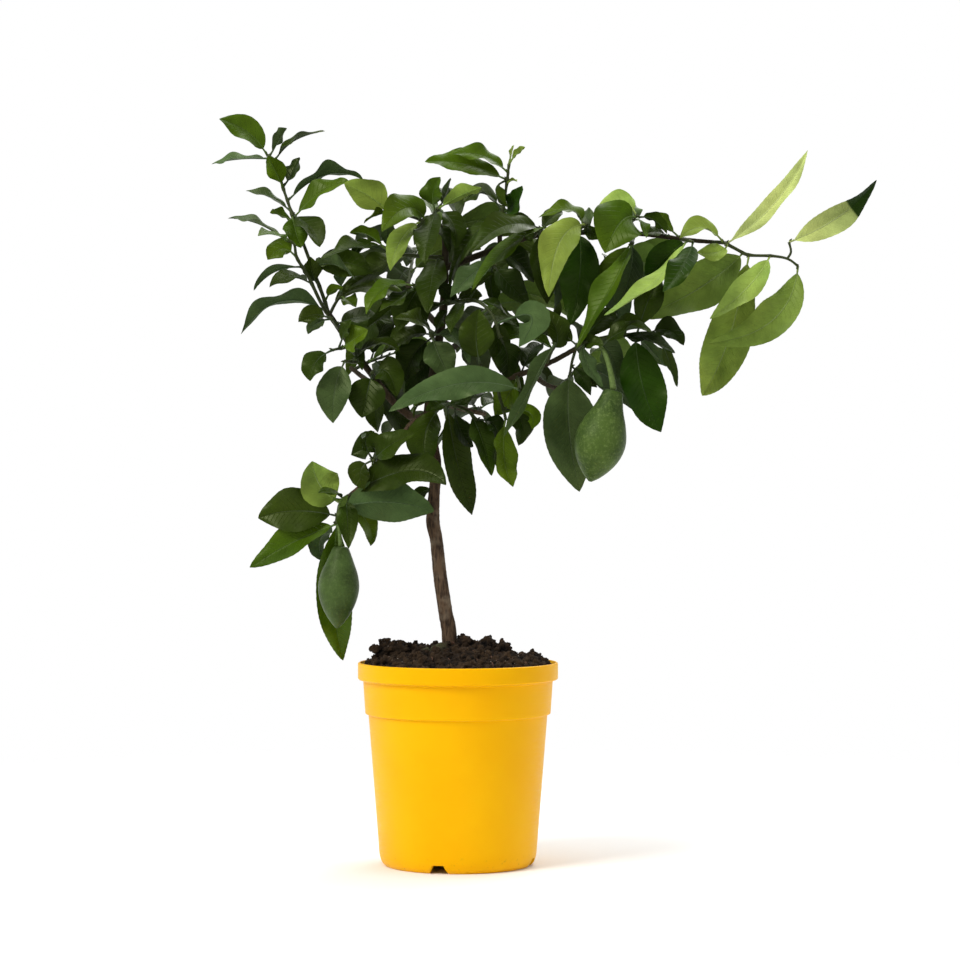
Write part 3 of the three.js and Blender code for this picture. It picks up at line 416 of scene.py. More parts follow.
SPRAYS: dict[str, SprayPlan] = {
    "spray_top_left": SprayPlan(
        shoots=[
            ([2, 1.2], [[-130, 548, -10], [-138, 561, -16], [-151, 588, -24], [-162, 606, -30],
                [-165, 620, -33], [-173, 624, -35]]),
            ([2.2, 1.1], [[-130, 548, -10], [-135, 565, -8], [-148, 600, -2], [-160, 632, 5],
                [-169, 656, 8], [-177, 680, 11], [-181, 700, 13], [-192, 709, 15]]),
            ([1.8, 1.3], [[-130, 548, -10], [-124, 560, 0], [-118, 569, 8]]),
        ],
        leaves=[
            [-192, 709, -212, 732, -240, 744, 31, 32, -16, MID],
            [-189, 708, -181, 723, -173, 736, 22, 112, 18, GREY],
            [-182, 706, -164, 724, -134, 731, 24, 76, 10, DARK],
            [-192, 700, -221, 705, -247, 699, 20, 64, 14, GREY],
            [-173, 676, -183, 692, -191, 708, 22, 160, -18, MID],
            [-173, 678, -166, 692, -160, 707, 24, 46, -14, DARK],
            [-165, 665, -135, 689, -95, 688, 29, 108, 22, GREY],
            [-160, 648, -139, 671, -110, 683, 29, 48, -20, MID],
            [-167, 652, -189, 667, -213, 673, 17, 60, -6, GREY],
            [-165, 642, -177, 649, -189, 651, 16, 126, 16, MID],
            [-165, 650, -164, 634, -158, 616, 28, 18, -16, MID],
            [-165, 650, -149, 636, -139, 618, 28, 26, -12, DARK],
            [-173, 624, -202, 641, -231, 645, 22, 76, -8, GREY],
            [-171, 623, -185, 630, -201, 627, 20, 58, -22, MID],
            [-159, 606, -176, 615, -191, 604, 28, 34, -12, MID],
            [-156, 597, -183, 593, -206, 574, 25, 98, 10, GREY],
            [-147, 580, -168, 587, -190, 579, 24, 58, -22, DARK],
            [-133, 552, -178, 563, -221, 532, 31, 112, -6, GREY],
            [-134, 562, -127, 573, -116, 576, 14, 140, -16, MID],
            [-119, 568, -112, 564, -103, 557, 20, 40, -12, MID],
            [-140, 578, -147, 591, -148, 607, 22, 28, -18, DARK],
            [-144, 590, -135, 598, -131, 610, 22, 30, -14, DARK],
            [-146, 597, -125, 600, -102, 587, 24, 116, -6, GREY],
        ],
    ),
    "spray_left": SprayPlan(
        shoots=[
            ([1.8, 1.2], [[-119, 534, -7], [-124, 541, -20], [-128, 546, -30]]),
            ([1.8, 1.2], [[-108, 518, -6], [-116, 516, -20], [-122, 515, -32], [-126, 514, -40]]),
            ([1.8, 1.2], [[-97, 502, -4], [-106, 502, -18], [-114, 503, -30]]),
            ([1.8, 1.2], [[-84, 486, 0], [-86, 490, -14], [-87, 492, -26]]),
        ],
        leaves=[
            [-127, 545, -145, 549, -161, 543, 22, 34, -8, DARK],
            [-127, 545, -142, 541, -151, 530, 16, 150, -20, GREY],
            [-126, 514, -143, 502, -149, 483, 27, 26, -8, DARK],
            [-114, 503, -124, 475, -126, 441, 36, 8, -10, GREY],
            [-87, 491, -92, 470, -97, 446, 40, 4, -10, DARK],
            [-87, 491, -84, 460, -83, 431, 24, -30, 14, DARK],
            [-118, 516, -106, 524, -91, 534, 30, 30, -18, MID],
            [-108, 502, -82, 520, -60, 512, 24, 66, -20, DARK],
            [-87, 491, -72, 492, -62, 468, 32, 26, 8, DARK],
            [-85, 487, -66, 460, -58, 428, 32, 22, 20, DARK],
            [-122, 540, -96, 546, -66, 540, 28, 56, 6, DARK],
        ],
    ),
    "spray_centre_left": SprayPlan(
        shoots=[
            ([2, 1.3], [[-15, 586, 0], [-30, 580, -22], [-44, 578, -40]]),
            ([2.2, 1.3], [[-14, 606, 0], [-40, 608, -14], [-58, 610, -22], [-72, 613, -28]]),
            ([2, 1.2], [[-15, 628, 2], [-30, 640, -10], [-50, 648, -18], [-70, 651, -22]]),
        ],
        leaves=[
            [-70, 612, -103, 617, -137, 603, 30, 64, -6, DARK],
            [-68, 651, -90, 668, -115, 680, 35, 155, -8, FRESH],
            [-30, 642, -52, 656, -77, 632, 36, 24, -22, MID],
            [-38, 643, -58, 624, -69, 594, 24, 20, -30, FRESH],
            [-64, 649, -71, 637, -72, 619, 15, 152, -12, GREY],
            [-72, 613, -90, 629, -109, 632, 19, 126, 6, MID],
            [-70, 651, -83, 649, -96, 641, 16, 112, 10, MID],
            [-72, 613, -97, 618, -105, 603, 14, 140, 16, DARK],
            [-48, 608, -80, 595, -114, 574, 34, 44, -18, DARK],
            [-46, 579, -74, 576, -93, 550, 26, 52, -16, MID],
            [-44, 578, -58, 566, -80, 553, 28, 58, -30, DARK],
            [-38, 580, -50, 560, -62, 532, 30, 20, -24, DARK],
            [-30, 580, -36, 562, -32, 540, 24, 30, -22, DARK],
            [-44, 578, -72, 552, -92, 540, 22, 128, -6, DARK],
            [-20, 607, -27, 584, -31, 550, 32, 18, -30, DARK],
        ],
    ),
    "spray_top_centre": SprayPlan(
        shoots=[
            ([1.8, 1.1], [[-26, 647, 4], [-24, 652, -2], [-20, 656, -8]]),
        ],
        leaves=[
            [-24, 653, -26, 670, -19, 687, 26, 30, -12, MID],
            [-20, 656, -13, 670, -8, 686, 18, 62, 8, DARK],
            [-20, 655, 2, 669, 23, 677, 21, 140, -10, FRESH],
            [-21, 655, -6, 640, -2, 616, 26, 34, -18, DARK],
            [-22, 654, -30, 630, -34, 600, 28, 20, -34, DARK],
        ],
    ),
    "spray_top_right": SprayPlan(
        shoots=[
            ([2, 1.1], [[43, 646, -4], [45, 662, -8], [48, 682, -11], [50, 700, -14]]),
        ],
        leaves=[
            [48, 684, 4, 700, -34, 701, 28, 32, -14, MID],
            [49, 691, 24, 708, -7, 709, 25, 46, 14, MID],
            [50, 699, 57, 710, 66, 717, 10, 130, 4, FRESH],
            [50, 699, 52, 710, 55, 719, 7, 60, -6, FRESH],
            [48, 684, 37, 673, 50, 657, 18, 116, -16, DARK],
            [48, 680, 53, 684, 58, 682, 8, 120, -12, FRESH],
            [44, 652, 55, 660, 62, 678, 26, 36, -16, DEEP],
            [44, 652, 24, 671, 3, 660, 27, 58, -14, DARK],
            [44, 655, 8, 620, -12, 578, 22, 48, -30, DARK],
            [44, 652, 60, 640, 72, 622, 26, 30, -24, DARK],
        ],
    ),
    "spray_right_inner": SprayPlan(
        shoots=[
            ([2, 1.3], [[74, 627, -1], [80, 634, -16], [86, 637, -30]]),
            ([2, 1.3], [[118, 631, -4], [122, 636, -18], [128, 640, -34]]),
            ([1.8, 1.3], [[36, 615, 2], [36, 606, -12], [34, 598, -24]]),
        ],
        leaves=[
            [82, 635, 46, 638, 12, 611, 31, 28, -16, DARK],
            [86, 637, 46, 614, 15, 573, 24, 48, -34, MID],
            [127, 640, 101, 622, 90, 567, 38, 16, -20, FRESH],
            [124, 637, 112, 654, 79, 648, 24, 58, 6, MID],
            [121, 633, 121, 590, 111, 538, 41, 8, -6, DEEP],
            [34, 599, 14, 590, -8, 566, 26, 30, -12, GREY],
            [34, 599, 50, 580, 70, 560, 30, 24, -12, SHADE],
            [34, 599, 32, 580, 36, 558, 18, 150, -26, DARK],
            [80, 633, 84, 600, 88, 560, 30, 16, 12, DARK],
            [36, 612, 56, 604, 76, 582, 28, 30, 22, SHADE],
        ],
    ),
    "spray_right_outer": SprayPlan(
        shoots=[
            ([1.9, 1.3], [[160, 631, -7], [168, 640, -20], [178, 646, -32]]),
            ([1.9, 1.3], [[176, 630, -8], [174, 624, -22], [173, 620, -36]]),
            ([1.9, 1.3], [[222, 625, -8], [228, 624, -22], [234, 622, -34]]),
            ([1.7, 1.2], [[252, 622, -7], [262, 622, -14], [268, 620, -20]]),
        ],
        leaves=[
            [178, 646, 162, 642, 146, 611, 56, 12, -14, MID],
            [178, 646, 163, 663, 138, 655, 22, 30, 12, LIME],
            [172, 621, 151, 574, 115, 519, 34, 52, -14, MID],
            [172, 622, 150, 590, 138, 556, 26, 20, 14, MID],
            [174, 621, 171, 590, 157, 553, 34, 14, 4, GREY],
            [228, 624, 192, 579, 145, 550, 25, 54, -26, LIME],
            [230, 623, 206, 606, 185, 578, 30, 18, 6, DEEP],
            [234, 622, 224, 598, 204, 572, 28, 24, -6, DEEP],
            [210, 627, 205, 642, 199, 652, 15, 30, -6, MID],
            [184, 645, 194, 645, 208, 630, 20, 120, 4, DARK],
            [265, 622, 244, 636, 220, 627, 27, 52, -8, FRESH],
            [268, 620, 260, 612, 237, 611, 24, 36, 12, FRESH],
        ],
    ),
    "spray_right_tip": SprayPlan(
        shoots=[
            ([1.8, 1.2], [[266, 621, -6], [279, 614, -5], [290, 609, -4], [314, 608, 0],
                [329, 605, 2], [339, 598, 4]]),
            ([1.3, 1.1], [[328, 605, 2], [332, 612, 1], [330, 622, 0]]),
        ],
        leaves=[
            [267, 620, 315, 660, 349, 713, 21, 28, 14, PALE],
            [330, 622, 376, 645, 420, 682, 28, 24, -10, PALE, 70, 0.66],
            [311, 608, 289, 577, 251, 545, 28, 18, -24, LIME],
            [339, 598, 314, 544, 250, 521, 39, 14, -16, FRESH],
            [290, 609, 268, 520, 241, 467, 48, 8, 20, FRESH],
            [284, 611, 244, 578, 181, 545, 50, 14, -10, FRESH],
        ],
    ),
    "spray_right_low": SprayPlan(
        shoots=[
            ([2.4, 1.6], [[116, 515, -33], [126, 522, -40], [140, 525, -44]]),
            ([2, 1.3], [[138, 525, -43], [156, 528, -36], [178, 530, -30], [200, 528, -26]]),
            ([2, 3.4], [[138, 524, -43], [147, 508, -48], [152, 490, -51], [154.5, 474, -52]]),
            ([1.6, 1.2], [[117, 516, -33], [113, 502, -28], [111, 490, -22]]),
        ],
        leaves=[
            [111, 490, 110, 436, 121, 372, 57, 4, 4, GREY],
            [176, 530, 184, 476, 202, 432, 46, 8, -6, DEEP],
            [134, 524, 150, 512, 158, 485, 28, 20, 16, GREY],
            [126, 520, 128, 500, 144, 477, 18, 30, -20, GREY],
            [188, 529, 208, 534, 225, 519, 26, 36, -8, SHADE],
            [200, 528, 210, 502, 218, 477, 15, 40, 8, DARK],
            [160, 528, 188, 524, 216, 511, 24, 52, -18, SHADE],
            [178, 529, 194, 512, 207, 497, 18, 150, 14, GREY],
            [150, 527, 160, 540, 186, 541, 24, 120, 8, DARK],
        ],
    ),
    "spray_centre": SprayPlan(
        shoots=[
            ([2.2, 1.4], [[-14, 560, -2], [4, 563, -22], [20, 562, -34], [34, 548, -44],
                [41, 526, -50]]),
            ([2, 1.4], [[-22, 512, 0], [-26, 526, -18], [-28, 530, -32]]),
            ([1.8, 1.3], [[22, 479, -17], [22, 490, -34], [21, 500, -46]]),
            ([1.8, 1.3], [[58, 488, -25], [60, 480, -40], [61, 474, -52]]),
            ([1.8, 1.3], [[88, 500, -30], [92, 512, -42], [96, 521, -50]]),
        ],
        leaves=[
            [61, 474, 0, 480, -71, 454, 34, 22, -10, GREY],
            [-28, 528, -20, 508, -8, 485, 34, 10, -10, GREY],
            [-28, 528, -4, 526, 10, 500, 20, 40, -20, GREY],
            [-28, 529, -50, 528, -78, 512, 28, 44, -8, DARK],
            [-27, 526, -46, 508, -54, 482, 32, 22, 8, SHADE],
            [-27, 528, -38, 542, -62, 548, 24, 40, -22, DARK],
            [21, 500, 17, 527, 20, 555, 37, 4, 6, DARK],
            [38, 540, 72, 548, 60, 517, 34, 150, -16, GREY],
            [96, 521, 72, 478, 47, 426, 25, 124, -24, GREY],
            [41, 527, 48, 508, 46, 486, 30, 24, 14, SHADE],
            [92, 512, 98, 530, 84, 556, 28, 30, 6, DARK],
            [10, 563, 20, 580, 36, 590, 20, 110, -16, DARK],
            [8, 563, -2, 552, -8, 530, 20, 36, -20, DARK],
            [58, 487, 50, 470, 36, 448, 30, 20, 24, MID],
            [22, 482, 10, 470, -10, 458, 26, 50, 22, DARK],
        ],
    ),
    "spray_hanging": SprayPlan(
        shoots=[
            ([2, 1.3], [[-28, 450, 2], [-16, 458, -12], [-6, 459, -22], [10, 452, -30],
                [18, 444, -34]]),
            ([1.8, 1.2], [[40, 483, -21], [40, 470, -32], [44, 456, -38], [47, 444, -42]]),
        ],
        leaves=[
            [11, 451, 23, 424, 32, 388, 26, 26, -12, DARK],
            [18, 444, 36, 438, 38, 414, 22, 38, 12, SHADE],
            [47, 446, 45, 406, 54, 377, 28, 30, -6, MID],
            [45, 455, 62, 444, 60, 418, 26, 24, 8, SHADE],
            [-4, 459, 2, 432, 15, 418, 22, 36, 8, SHADE],
            [-12, 459, -1, 398, 15, 349, 32, 18, -22, DARK],
            [-18, 457, -34, 428, -30, 394, 36, 16, -22, DARK],
            [46, 452, 70, 452, 73, 435, 20, 140, -8, MID],
            [-8, 459, -36, 462, -44, 446, 16, 110, -20, DARK],
            [-4, 459, 18, 468, 42, 462, 26, 58, 14, DARK],
        ],
    ),
    "spray_lower_left": SprayPlan(
        shoots=[
            ([2.2, 1.6], [[-110, 368, -32], [-118, 360, -34], [-121, 350, -35], [-122, 340, -35]]),
            ([1.6, 2.2], [[-122, 346, -35], [-119.5, 332, -34], [-118.5, 317, -34]]),
            ([1.7, 1.2], [[-84, 396, -24], [-84, 402, -40], [-86, 404, -50]]),
        ],
        leaves=[
            [-118, 361, -138, 377, -147, 403, 44, 10, -12, FRESH],
            [-114, 364, -127, 372, -141, 370, 14, 50, -24, MID],
            [-122, 348, -164, 353, -201, 346, 46, 8, -8, DARK],
            [-122, 340, -165, 322, -210, 297, 34, 50, -12, MID, -40],
            [-122, 341, -139, 324, -135, 303, 26, 148, 14, GREY],
            [-118, 356, -72, 362, -25, 353, 48, 165, -14, GREY],
            [-117, 361, -92, 342, -88, 317, 20, 20, 14, MID],
            [-121, 344, -125, 266, -116, 204, 38, 6, 30, MID],
            [-96, 378, -52, 393, -13, 378, 40, 26, -6, DARK],
            [-85, 403, -94, 422, -84, 432, 22, 100, -8, DARK],
            [-84, 401, -86, 416, -108, 409, 34, 22, -22, DARK],
            [-85, 402, -70, 418, -44, 430, 30, 30, -8, DARK],
            [-86, 403, -98, 394, -95, 375, 26, 20, 6, DARK],
            [-84, 399, -84, 380, -69, 380, 14, 40, -14, DARK],
        ],
    ),
}

HIDDEN_SPRAYS: dict[str, list[HiddenPlan]] = {
    "spray_back_middle": [
        HiddenPlan((13, 538, 64), (0.35, 0.75, 0.5), 80, 6, 0.7),
        HiddenPlan((2, 526, 42), (0.7, 0.45, -0.2), 58, 4, -0.6),
    ],
    "spray_back_left": [
        HiddenPlan((-51, 578, 60), (0.05, 0.7, 0.5), 76, 6, 0.7),
        HiddenPlan((-40, 562, 42), (-0.6, 0.5, 0.1), 52, 4, -0.5),
    ],
    "spray_back_far_left": [
        HiddenPlan((-106, 494, 60), (0.45, 0.6, 0.3), 62, 5, 0.5),
    ],
    "spray_back_low_left": [
        HiddenPlan((-55, 441, 54), (0.1, 0.5, 0.25), 48, 4, -0.4),
    ],
    "spray_back_low": [
        HiddenPlan((25, 450, 50), (-0.1, 0.5, 0.15), 48, 4, -0.4),
    ],
    "spray_back_right": [
        HiddenPlan((130, 596, 57), (0.4, 0.6, 0.1), 72, 6, 0.6),
        HiddenPlan((120, 610, 34), (-0.6, 0.7, -0.2), 50, 4, -0.6),
    ],
    "spray_back_low_right": [
        HiddenPlan((102, 475, 37), (0.35, 0.5, 0.5), 62, 5, 0.5),
    ],
    "spray_back_top": [
        HiddenPlan((-16, 632, 2), (0.35, 0.8, 0.3), 56, 5, 0.6),
    ],
}


# ------------------------------------------------------------------ leaves and their places

@dataclass(frozen=True)
class LeafShape:
    """How every leaf of the tree is made, in millimetres and radians."""

    petiole: float = 1.0  # radius of the leaf stalk
    stalk: float = 7.0  # length of the stalk that shows
    fold: float = 0.3  # how far the two halves rise from the midrib
    wave: float = 0.08  # height of the waved margin, as a share of the width
    tip: float = 0.3  # half width left at the tip
    station: float = 1.9  # distance between two sections of the blade
    rib_end: float = 0.9  # where the midrib runs out, as a share of the length

    def spread(self, s: Array) -> Array:
        """Half the blade's width at a share of its length, as a share of its greatest half width."""
        return np.clip(np.sin(np.pi * s ** 0.85), 0, 1) ** 0.8


SHAPE = LeafShape()


@dataclass
class Leaf:
    """A leaf: its root, middle and tip in space, the way its upper face looks, its width and its twist."""

    root: Array
    middle: Array
    tip: Array
    facing: Array
    width: float
    twist: float
    tone: Tone = Tone.DARK
    under_shows: bool = False
    rolled: float = 1.0  # where the tip rolls over and shows its dark upper face, as a share of the blade

    @property
    def length(self) -> float:
        """Distance from root to tip."""
        return float(np.linalg.norm(self.tip - self.root))

    @property
    def stalk_share(self) -> float:
        """Where the bare stalk ends, as a share of the whole midrib."""
        return min(0.3, SHAPE.stalk / self.length)

    def frame_at(self, t: Array) -> tuple[Array, Array, Array]:
        """Gives the midrib's places and the blade's directions there.

        Args:
            t: Shares of the whole midrib, stalk included.

        Returns:
            Places, directions across the blade, and directions that its upper face looks.
        """
        t = t[:, None]
        pull = 2 * self.middle - 0.5 * self.root - 0.5 * self.tip
        place = self.root * (1 - t) ** 2 + pull * (2 * t * (1 - t)) + self.tip * t ** 2
        along = unit((pull - self.root) * (1 - t) + (self.tip - pull) * t)
        face = unit(self.facing - along * (along @ self.facing)[:, None])
        turn = self.twist * t
        face = face * np.cos(turn) + np.cross(along, face) * np.sin(turn)
        return place, np.cross(along, face), face

    def blade_points(self, s: Array, v: Array) -> Array:
        """Gives points of the blade: s from its base to its tip, v from -1 to 1 across it."""
        start = self.stalk_share
        place, across, face = self.frame_at(start + (1 - start) * s)
        reach = np.abs(v)[None, :] * (self.width / 2) * SHAPE.spread(s)[:, None]
        aside = across[:, None, :] * (np.sign(v)[None, :] * reach * math.cos(SHAPE.fold))[:, :, None]
        lift = face[:, None, :] * (reach * math.sin(SHAPE.fold))[:, :, None]
        return place[:, None, :] + aside + lift


LOOK_S = np.arange(1, 11) / 10
LOOK_V = np.array([-1, -0.67, -0.33, 0, 0.33, 0.67, 1])
STEPS_ASIDE = (0, -8, 8, -16, 16, -24, 24, -32, 32, -42, 42)  # tried in turn until a leaf is clear


@dataclass
class Crown:
    """What the crown holds already, so that each new leaf can be bent clear of it."""

    clear: float = 6.5  # distance that leaves keep from each other
    stem_room: float = 2.5  # room round a stem, beyond its radius
    fruit_room: float = 3.0  # room round a fruit
    step: float = 5.0  # distance between the places looked at along a stem
    base: float = 0.2  # share of a leaf, from its root, that may lie close to others
    near: float = 45.0  # nothing farther than this from a leaf can be in its way
    places: list[Array] = field(default_factory=list)
    rooms: list[Array] = field(default_factory=list)

    def take(self, points: Array, rooms: Array) -> None:
        """Remembers points and the room each needs round it."""
        self.places.append(points)
        self.rooms.append(rooms)

    def take_stem(self, points: Array, radii: Sequence[float]) -> None:
        """Remembers a stem by places along it."""
        for i in range(len(points) - 1):
            steps = math.ceil(float(np.linalg.norm(points[i + 1] - points[i])) / self.step)
            shares = np.arange(steps) / steps
            rooms = radii[i] + (radii[i + 1] - radii[i]) * shares + self.stem_room
            self.take(points[i] + (points[i + 1] - points[i]) * shares[:, None], rooms)

    def clearance(self, looks: Array, places: Array, rooms: Array) -> float:
        """Gives the least room that a leaf's points have, beyond what each thing needs round it."""
        low, high = looks.min(axis=0) - self.near, looks.max(axis=0) + self.near
        close = np.all((places > low) & (places < high), axis=1)
        if not close.any():
            return math.inf
        away = np.linalg.norm(looks[:, None, :] - places[close][None, :, :], axis=2)
        return float((away - rooms[close]).min())

    def roomiest(self, candidates: Iterable[Leaf]) -> tuple[Leaf, float]:
        """Picks the first leaf that is clear, or else the one with the most room.

        Args:
            candidates: The leaves to choose from, best first.

        Returns:
            The leaf and the room it has to spare, below 0 where it has none.
        """
        places, rooms = np.vstack(self.places), np.concatenate(self.rooms)
        best, most = None, -math.inf
        for leaf in candidates:
            looks = leaf.blade_points(LOOK_S[LOOK_S > self.base - 1e-9], LOOK_V).reshape(-1, 3)
            spare = self.clearance(looks, places, rooms)
            if best is None or spare > most:
                best, most = leaf, spare
            if spare >= 0:
                break
        return best, most

    def place(self, leaf: Leaf) -> Leaf:
        """Remembers a leaf and hands it back."""
        points = leaf.blade_points(LOOK_S, LOOK_V).reshape(-1, 3)
        self.take(points, np.full(len(points), self.clear))
        return leaf


def nearest_on_shoots(shoots: list[tuple[list[float], Rows]], x: float, z: float) -> list[float]:
    """Finds the point of the shoots that the elevation shows nearest to (x, z), as [x, z, depth]."""
    best, least = None, math.inf
    for _, points in shoots:
        for (ax, az, ay), (bx, bz, by) in zip(points, points[1:]):
            length2 = (bx - ax) ** 2 + (bz - az) ** 2
            share = min(1.0, max(0.0, ((x - ax) * (bx - ax) + (z - az) * (bz - az)) / length2))
            spot = [ax + (bx - ax) * share, az + (bz - az) * share, ay + (by - ay) * share]
            away = math.hypot(spot[0] - x, spot[1] - z)
            if away < least:
                best, least = spot, away
    return best


def drawn_leaf(row: list, shoots: list[tuple[list[float], Rows]], crown: Crown) -> Leaf:
    """Places one drawn leaf on its shoot, bent clear of what stands there.

    Args:
        row: The leaf's row in its plan.
        shoots: The shoots that may carry it.
        crown: What the crown holds already.

    Returns:
        The leaf.
    """
    rx, rz, mx, mz, tx, tz, width, turn, reach, tone = row[:10]
    twist = math.radians(row[10]) if len(row) > 10 else 0.0
    rolled = row[11] if len(row) > 11 else 1.0
    spot = nearest_on_shoots(shoots, rx, rz)
    chord = unit(np.array([tx - rx, tz - rz], float))
    side = 1 if chord[0] < 0 else -1
    angle = math.radians(turn)
    facing = np.array([side * chord[1] * math.sin(angle), -math.cos(angle), -side * chord[0] * math.sin(angle)])
    candidates = (
        Leaf(on_sight(*spot), on_sight(mx, mz, spot[2] + 0.55 * (reach + aside)),
             on_sight(tx, tz, spot[2] + reach + aside), facing, width, twist, tone, abs(turn) > 90, rolled)
        for aside in STEPS_ASIDE
    )
    return crown.place(crown.roomiest(candidates)[0])


def random_draws(seed: int) -> Iterable[float]:
    """Gives whole-number random draws from 0 to 1, the same in any language (mulberry32)."""
    full = 0xFFFFFFFF
    state = seed & full
    while True:
        state = (state + 0x6D2B79F5) & full
        t = state
        t = ((t ^ (t >> 15)) * (t | 1)) & full
        t = (t ^ (t + (((t ^ (t >> 7)) * (t | 61)) & full))) & full
        yield (t ^ (t >> 14)) / 4294967296


@dataclass
class Growth:
    """The rule by which the shoots at the back of the crown grow, in millimetres and radians."""

    seed: int = 2207
    turn: float = 2.4  # between one leaf and the next, round the shoot
    lean: float = 0.95  # how far a leaf leans out from its shoot
    hang: float = 0.3  # how far a leaf hangs from the way it would grow
    droop: float = 0.24  # sag of the midrib as a share of its length
    longest: float = 88.0
    shortest: float = 58.0
    slender: float = 0.43  # width as a share of the length
    radii: tuple[float, float] = (2.0, 1.1)
    step: float = 26.0  # length of one joint of the shoot
    sag: float = 6.0  # drop of the shoot's end
    stray: float = 1.6  # spread of the angle round the shoot
    sway: float = 0.4  # spread of the lean
    last_lean: float = 0.2  # lean of the leaf that ends the shoot
    level: float = 0.7  # how much of the rise out of the shoot a leaf keeps
    roll: float = 0.5  # spread of the way the upper face looks, and of the twist
    tries: int = 36  # directions tried for a leaf; it isn't grown when none is clear

    def __post_init__(self) -> None:
        """Starts the draws."""
        self.draws = random_draws(self.seed)

    def shoot(self, plan: HiddenPlan) -> Array:
        """Gives the shoot's points in space."""
        along = unit(np.array(plan.heading, float))
        joints = max(2, math.floor(plan.length / self.step + 0.5))
        shares = np.arange(joints + 1) / joints
        points = on_sight(*plan.start) + along * (shares * plan.length)[:, None]
        points[:, 2] -= self.sag * shares ** 2
        return points

    def leaf(self, shoot: Array, share: float, number: int, look: float, crown: Crown) -> Optional[Leaf]:
        """Grows one leaf, where there is room for it.

        Args:
            shoot: The shoot's points.
            share: Where on the shoot the leaf leaves it.
            number: The leaf's number on its shoot.
            look: How far its upper face looks to the back.
            crown: What the crown holds already.

        Returns:
            The leaf, or None where nothing is clear.
        """
        span = len(shoot) - 1
        joint = min(span - 1, math.floor(share * span))
        root = shoot[joint] + (shoot[joint + 1] - shoot[joint]) * (share * span - joint)
        along = unit(shoot[joint + 1] - shoot[joint])
        aside = unit(np.cross([0.0, 0.0, 1.0], along))
        above = np.cross(along, aside)
        length = self.shortest + (self.longest - self.shortest) * next(self.draws)
        candidates = []
        for _ in range(self.tries):
            angle = self.turn * number + self.stray * (next(self.draws) - 0.5)
            lean = self.lean + self.sway * (next(self.draws) - 0.5) if share < 1 else self.last_lean
            out = aside * math.cos(angle) + above * math.sin(angle)
            way = along * math.cos(lean) + out * math.sin(lean)
            way[2] = way[2] * self.level - self.hang
            tip = root + unit(way) * length
            middle = root + (tip - root) * 0.5
            middle[2] += self.droop * length * 0.5
            tip[2] -= self.droop * length * 0.5
            east, north, twist = (self.roll * (next(self.draws) - 0.5) for _ in range(3))
            facing = np.array([east, look + north, 1 - abs(look) / 2])
            tone = Tone.MID if number % 3 == 1 else Tone.DARK
            candidates.append(Leaf(root, middle, tip, facing, self.slender * length, twist, tone))
        best, spare = crown.roomiest(candidates)
        return None if spare < 0 else crown.place(best)


# ------------------------------------------------------------------ sprays

# What lines carry at their points, and how many numbers each takes: the geometry tree reads all but the colours.
LINE_LAYERS = {"rib": 3, "across": 3, "face": 3, "half": 1, "share": 1, "run": 1, "wave": 1, "ruffle": 1,
               "thick": 1, "blade": 1, "upper": 4, "under": 4}


# How a blade gets its form: what is worked out, by which operation, and from which layers of the rib, inputs of
# the tree, earlier rows and plain numbers.
BLADE_FORM = (
    ("off_rib", "ABSOLUTE", "v"),
    ("wide", "MULTIPLY", "v", "half"),
    # crenate teeth that grow towards the margin
    ("tooth_turn", "DIVIDE", "run", "Tooth Length"),
    ("tooth_angle", "MULTIPLY", "tooth_turn", 2 * math.pi),
    ("tooth_wave", "SINE", "tooth_angle"),
    ("near_margin", "POWER", "v", 5.0),
    ("tooth_size", "MULTIPLY", "near_margin", "Tooth Depth"),
    ("teeth", "MULTIPLY_ADD", "tooth_wave", "tooth_size", "wide"),
    ("fold_cos", "COSINE", "Fold"),
    ("fold_sin", "SINE", "Fold"),
    ("reach", "MULTIPLY", "teeth", "fold_cos"),
    # the fold along the midrib, the waved margin and the leaf's own unevenness
    ("height", "ABSOLUTE", "wide"),
    ("dish", "MULTIPLY_ADD", "off_rib", -0.3, 1.3),
    ("raised", "MULTIPLY", "height", "dish"),
    ("folded", "MULTIPLY", "raised", "fold_sin"),
    ("signed", "MULTIPLY", "v", "off_rib"),
    ("waved", "MULTIPLY_ADD", "signed", "wave", "folded"),
    ("squared", "MULTIPLY", "off_rib", "off_rib"),
    ("ruffled", "MULTIPLY_ADD", "squared", "ruffle", "waved"),
    # quilting between slanting side veins, which fades at the midrib and the margin
    ("slant", "MULTIPLY", "height", "Vein Slant"),
    ("back_on_rib", "SUBTRACT", "run", "slant"),
    ("vein", "DIVIDE", "back_on_rib", "Vein Spacing"),
    ("vein_angle", "MULTIPLY", "vein", 2 * math.pi),
    ("vein_wave", "COSINE", "vein_angle"),
    ("inner", "MULTIPLY", "off_rib", "signed"),
    ("inner_size", "ABSOLUTE", "inner"),
    ("body", "SUBTRACT", "off_rib", "inner_size"),
    ("quilt", "MULTIPLY", "body", "Quilting"),
    ("lift", "MULTIPLY_ADD", "vein_wave", "quilt", "ruffled"),
    ("u", "MULTIPLY_ADD", "v", 0.5, 0.5),
    # half the thickness, running out to nothing in the margin, the base and the tip
    ("margin", "POWER", "off_rib", 6.0),
    ("centred", "MULTIPLY_ADD", "share", 2.0, -1.0),
    ("to_end", "ABSOLUTE", "centred"),
    ("end", "POWER", "to_end", 24.0),
    ("edge", "MAXIMUM", "margin", "end"),
    ("full", "SUBTRACT", 1.0, "edge"),
    ("half_thick", "MULTIPLY", "Thickness", 0.5),
    ("thickness", "MULTIPLY", "full", "half_thick"),
)


